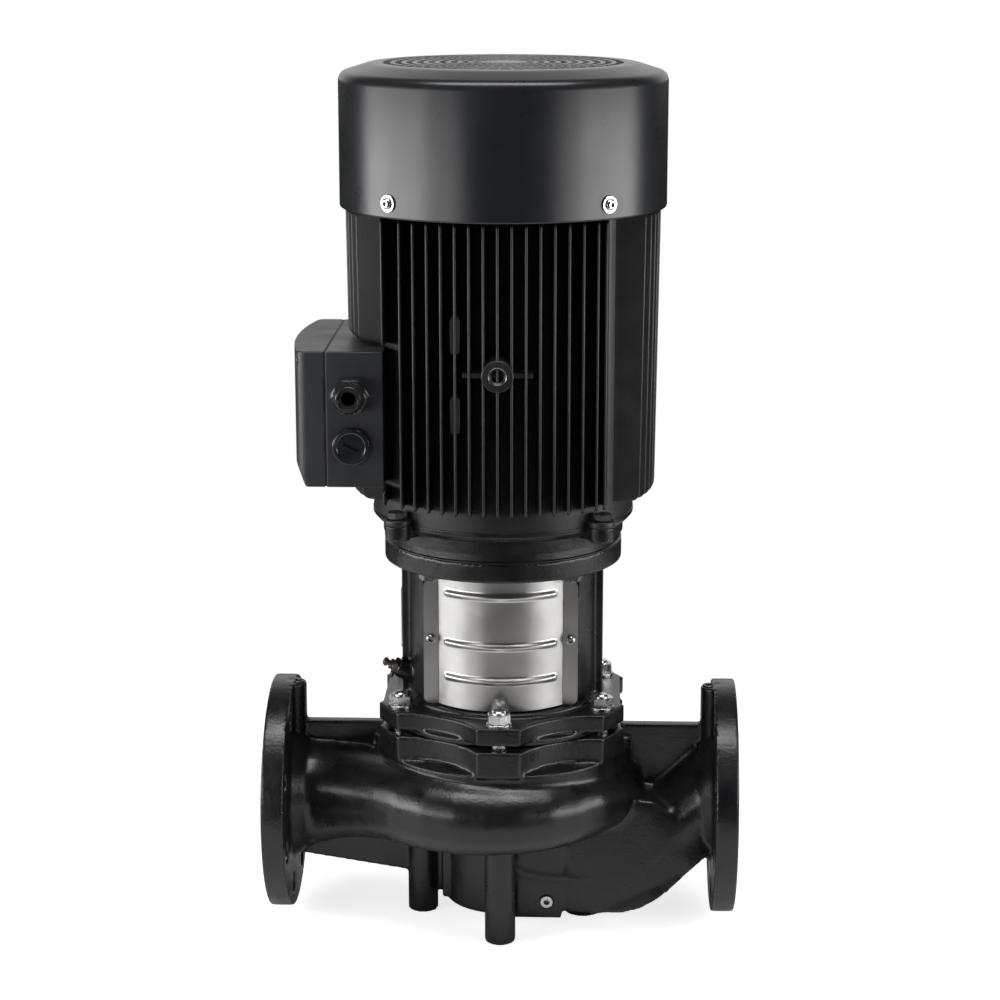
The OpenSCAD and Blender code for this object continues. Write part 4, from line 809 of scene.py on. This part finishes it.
guardSetup = {
    "half": 52.6, "bulge": 24, "thick": 1.2, "face": 56.05, "wing": 64.2,
    "low": 206.5, "high": 318, "wingHigh": 312.5, "beads": (304.25, 261.75, 232.25),
    "beadHigh": 2.1, "beadWide": 3.0, "beadHalfTurn": 42.0, "beadEnd": 2.4, "beadReach": 1.3,
    "corner": 5, "across": 88, "rowHigh": 5,
}
beadSteps = (-4.4, -3.6, -3.0, -2.4, -1.8, -1.2, -0.6, 0, 0.6, 1.2, 1.8, 2.4, 3.0, 3.6, 4.4)


def beadLift(angle, z, setup):
    # How far the pressed bead stands out here; its round ends fall away within a few degrees
    best, end, reach = 0, setup["beadEnd"], setup["beadReach"]
    for bead in setup["beads"]:
        past = max(0, (abs(angle) - setup["beadHalfTurn"] + end) / end)
        d = math.hypot((z - bead) / setup["beadWide"], past)
        if d < reach:
            best = max(best, setup["beadHigh"] * (0.5 + 0.5 * math.cos(math.pi * d / reach)))
    return best


def guardWing(bm, side, setup):
    low, high, c = setup["low"], setup["wingHigh"], setup["corner"]
    inner, outer = setup["half"] - 0.6, setup["wing"]
    outline = [(inner, low), (inner, high)]
    outline += roundCorner(outer - c, high - c, c, 90, -18, 6)
    outline += roundCorner(outer - c, low + c, c, 0, -18, 6)
    face = setup["face"]
    prism(bm, [(side * x, z) for x, z in outline], face, face + setup["thick"], axisFront())


def guardBow(bm, setup):
    half, bulge, thick = setup["half"], setup["bulge"], setup["thick"]
    curve = (half * half + bulge * bulge) / (2 * bulge)
    middle = -setup["face"] - bulge + curve
    halfTurn = math.degrees(math.asin(half / curve))
    marks = sorted([setup["low"], setup["high"]] + [b + d for b in setup["beads"] for d in beadSteps])
    heights = []
    for low, high in zip(marks, marks[1:]):
        steps = max(1, round((high - low) / setup["rowHigh"]))
        heights += [low + (high - low) * k / steps for k in range(steps)]
    heights.append(setup["high"])
    across = setup["across"]
    skins = []
    for inset in (0, thick):
        grid = []
        for i in range(across + 1):
            a = halfTurn * (2 * i / across - 1)
            turn = math.radians(a)
            column = []
            for z in heights:
                r = curve + beadLift(a, z, setup) - inset
                spot = Vector((r * math.sin(turn), middle - r * math.cos(turn), z))
                column.append(bm.verts.new(spot * mm))
            grid.append(column)
        skins.append(grid)
    outer, inner = skins
    n, m = across, len(heights) - 1
    for i in range(n):
        for j in range(m):
            bm.faces.new([outer[i][j], outer[i + 1][j], outer[i + 1][j + 1], outer[i][j + 1]])
            bm.faces.new([inner[i][j], inner[i][j + 1], inner[i + 1][j + 1], inner[i + 1][j]])
        bm.faces.new([outer[i][0], inner[i][0], inner[i + 1][0], outer[i + 1][0]])
        bm.faces.new([outer[i][m], outer[i + 1][m], inner[i + 1][m], inner[i][m]])
    for j in range(m):
        bm.faces.new([outer[0][j], outer[0][j + 1], inner[0][j + 1], inner[0][j]])
        bm.faces.new([outer[n][j], inner[n][j], inner[n][j + 1], outer[n][j + 1]])


def addGuard(name, node, turned, setup):
    bm = bmesh.new()
    guardBow(bm, setup)
    for side in (-1, 1):
        guardWing(bm, side, setup)
    if turned:
        bmesh.ops.rotate(bm, verts=bm.verts, matrix=Matrix.Rotation(math.pi, 3, "Z"))
    return addPiece(name, bm, "stainless", [node], crease=30)


addGuard("guardFront", "guard_front", False, guardSetup)
addGuard("guardRear", "guard_rear", True, guardSetup)

guardScrewSetup = {
    "x": 58, "face": 57.25, "height": 262.25,
    "head": 4, "headHigh": 2.6, "shank": 2, "length": 8.5,
}


def addGuardScrews(setup):
    bm = bmesh.new()
    for s in (-1, 1):
        for x in (-1, 1):
            place = axisPlace(x * setup["x"], 0, setup["height"], (0, s, 0))
            panHead(bm, place, setup["face"], setup)
    return addPiece("guardScrews", bm, "zinc_plate", ["guard_screws"])


addGuardScrews(guardScrewSetup)
print("coupling guards ready")

headBoltSetup = {
    "circle": 97.2, "angles": (30, 90, 150, 210, 270, 330), "seat": 201, "turn": 17,
    "washer": 10.4, "washerHole": 6.3, "washerThick": 2.0,
    "across": 18, "nutHigh": 8.0, "stud": 6, "studEnd": 213.4, "studFoot": 172,
}


def addHeadBolts(setup):
    nuts, washers = bmesh.new(), bmesh.new()
    seat = setup["seat"] + setup["washerThick"] + 0.1
    stud, foot, end = setup["stud"], setup["studFoot"], setup["studEnd"]
    rim, hole = setup["washer"], setup["washerHole"]
    low = setup["seat"] + 0.05
    high = low + setup["washerThick"]
    for k, a in enumerate(setup["angles"]):
        turn = onCircle(setup["circle"], a) @ Matrix.Rotation(math.radians(setup["turn"] * k), 4, "Z")
        hexShape(nuts, turn, setup["across"], seat, seat + setup["nutHigh"], 4)
        sweepRound(nuts, fillet([(0, foot), (stud, foot), (stud - 0.3, end - 1.2), (stud - 1.4, end, 0.3),
                                 (0, end)], 3), 40, turn)
        sweepRound(washers, fillet([(hole, low), (rim, low), (rim, high, 0.5), (hole, high, 0.3),
                                    (hole, low)], 3), 48, turn)
    addPiece("headNuts", nuts, "zinc_plate", ["head_bolts"], crease=24)
    addPiece("headWashers", washers, "zinc_plate", ["head_washers"], crease=24)


addHeadBolts(headBoltSetup)

shieldSetup = {
    "bore": 21, "spigot": 65, "spigotFoot": 334, "flange": 100, "foot": 337.9, "wallTop": 354,
    "neck": 95.5, "rim": 109, "rimFoot": 361, "rimInner": 101, "top": 366.2, "plate": 8,
    "lugCircle": 117, "lugRadius": 11, "lugFoot": 354, "lugTop": 366.3,
}


def addEndShield(setup):
    bm = bmesh.new()
    r, rim, bore, spigot = setup["flange"], setup["rim"], setup["bore"], setup["spigot"]
    foot, top, rimFoot = setup["foot"], setup["top"], setup["rimFoot"]
    inner, floor = setup["rimInner"], foot + setup["plate"]
    # A nearly straight wall with a ledge at its foot, a neck and a wider rim
    sweepRound(bm, fillet([(bore, setup["spigotFoot"]), (spigot, setup["spigotFoot"]), (spigot, foot),
                           (r, foot, 0.5), (r, foot + 1, 0.5), (r - 1.2, foot + 2, 0.5),
                           (r - 1.6, setup["wallTop"] - 3, 2), (setup["neck"], setup["wallTop"], 2),
                           (rim - 3, rimFoot - 3, 4), (rim + 0.4, rimFoot + 1, 1.5),
                           (rim + 0.6, top - 0.2, 0.8), (inner, top), (inner, floor),
                           (bore, floor), (bore, setup["spigotFoot"])], 6), 128)
    lugR, lugFoot, lugTop = setup["lugRadius"], setup["lugFoot"], setup["lugTop"]
    for a in quarterAngles:
        lug = onCircle(setup["lugCircle"], a)
        lugShape = fillet([(0, lugFoot), (lugR - 0.6, lugFoot, 2), (lugR, lugTop, 0.8), (0, lugTop)], 4)
        sweepRound(bm, lugShape, 40, lug)
        box(bm, (-18, -9, lugFoot + 1.5), (0, 9, 366), lug)
    return addPiece("endShield", bm, "cast_paint", ["drive_end_shield"], crease=35)


addEndShield(shieldSetup)

flangeBoltSetup = {
    "stoolBolts": dict(nodes=["stool_bolts"], finish="zinc_plate", circle=82.5, seat=321.5, down=True,
                       across=16, high=7.4, shank=5, length=27.5),
    "shieldBolts": dict(nodes=["shield_bolts"], finish="motor_paint", circle=119, seat=372.2, down=False,
                        across=13, high=5.3, shank=4, length=16),
}


def addFlangeBolts(name, setup):
    bm = bmesh.new()
    down = Matrix.Rotation(math.pi, 4, "X")
    for k, a in enumerate(quarterAngles):
        place = onCircle(setup["circle"], a, setup["seat"])
        if setup["down"]:
            place = place @ down
        place = place @ Matrix.Rotation(math.radians(23 * k), 4, "Z")
        hexShape(bm, place, setup["across"], 0.03, setup["high"], 0)
        shank, end = setup["shank"] - 0.02, -setup["length"]
        sweepRound(bm, [(0, 0.5), (shank, 0.5), (shank, end), (0, end)], 32, place)
        rim, high = setup["across"] * 0.32, setup["high"]
        foot, top = high - 0.5, high + 0.02
        sweepRound(bm, [(0, foot), (rim, foot), (rim, top), (0, top)], 32, place)
    return addPiece(name, bm, setup["finish"], setup["nodes"], crease=24)


for boltName, boltSetup in flangeBoltSetup.items():
    addFlangeBolts(boltName, boltSetup)
print("fasteners ready")

ventSetup = {
    "place": (-85, -24, 226), "tilt": 24,
    "rise": 4, "across": 13, "hexHigh": 4, "neck": 4.4, "thread": 3.95,
    "stem": 2.5, "collar": 3.1, "tip": 1.6, "end": 17.4,
    "knobHeight": 15, "knobRadius": 1.9, "knobLong": 15,
}


def addVent(setup):
    turn = Matrix.Rotation(math.radians(setup["tilt"] - 90), 4, "Y")
    place = Matrix.Translation(Vector(setup["place"]) * mm) @ turn
    rise, neck, stem, thread = setup["rise"], setup["neck"], setup["stem"], setup["thread"]
    hole = stem + 0.1
    bm = bmesh.new()
    hexShape(bm, place, setup["across"], rise + 0.02, rise + setup["hexHigh"], 0)
    sweepRound(bm, fillet([(hole, rise + 3), (neck + 0.6, rise + 3), (neck, rise + 5, 0.6),
                           (neck, rise + 7.4, 0.8), (hole, rise + 7.4), (hole, rise + 3)], 3), 40, place)
    spout = place @ Matrix.Translation(Vector((0, 0, (rise + 2) * mm)))
    spout = spout @ Matrix.Rotation(-math.pi / 2, 4, "Y")
    sweepRound(bm, fillet([(0, 3), (1.8, 3), (1.8, 10.9, 0.4), (1.0, 10.9), (1.0, 7), (0, 7)], 3),
               24, spout)
    sweepRound(bm, [(0, -6.9), (thread, -6.9), (thread, rise + 0.5), (0, rise + 0.5)], 32, place)
    addPiece("ventBody", bm, "bronze", ["vent_body"], crease=28)
    bm = bmesh.new()
    collar, end = setup["collar"], setup["end"]
    sweepRound(bm, fillet([(0, rise + 3.1), (stem, rise + 3.1), (stem, 13.5), (collar, 14.2, 0.5),
                           (collar, 16.6, 0.8), (setup["tip"], end), (0, end)], 3), 32, place)
    knob = place @ Matrix.Translation(Vector((0, 0, setup["knobHeight"] * mm)))
    knob = knob @ Matrix.Rotation(math.pi / 2, 4, "X")
    long = setup["knobLong"] / 2
    r = setup["knobRadius"]
    sweepRound(bm, fillet([(0, -long), (r, -long, 0.9), (r * 0.8, 0), (r, long, 0.9), (0, long)], 4),
               32, knob)
    addPiece("ventSpindle", bm, "bronze", ["vent_screw"], body="vent_spindle", crease=28)


addVent(ventSetup)

gaugePlugSetup = {"x": 176.5, "top": 207.2, "radius": 5.6, "length": 12, "socket": 2.9, "socketDeep": 4}


def addGaugePlugs(setup):
    bm = bmesh.new()
    r, top = setup["radius"], setup["top"]
    low, floor = top - setup["length"], top - setup["socketDeep"]

    def profileAt(angle):
        socket = hexReach(setup["socket"], angle)
        return [(0, low), (r, low), (r, top - 0.5), (r - 0.5, top),
                (socket + 0.5, top), (socket, top - 0.5), (socket, floor), (0, floor)]

    for side in (-1, 1):
        turnShape(bm, profileAt, 48, Matrix.Translation(Vector((side * setup["x"], 0, 0)) * mm))
    return addPiece("gaugePlugs", bm, "cast_paint", ["tapping_plugs"], crease=24)


addGaugePlugs(gaugePlugSetup)

plateSetup = {"x": -85.05, "thick": 0.7, "half": 18, "low": 243, "high": 295, "corner": 2.5}


def addPlate(setup):
    bm = bmesh.new()
    place = Matrix.Translation(Vector((setup["x"], 0, 0)) * mm) @ axisLeft()
    c = setup["corner"]
    side, low, high = setup["half"] - c, setup["low"] + c, setup["high"] - c
    outline = []
    for cx, cy, start in ((side, low, -90), (side, high, 0), (-side, high, 90), (-side, low, 180)):
        outline += roundCorner(cx, cy, c, start, 22.5, 5)
    prism(bm, outline, 0, setup["thick"], place)
    return addPiece("bareRatingPlate", bm, "stainless", ["nameplate"], crease=30)


addPlate(plateSetup)
print("small parts ready")
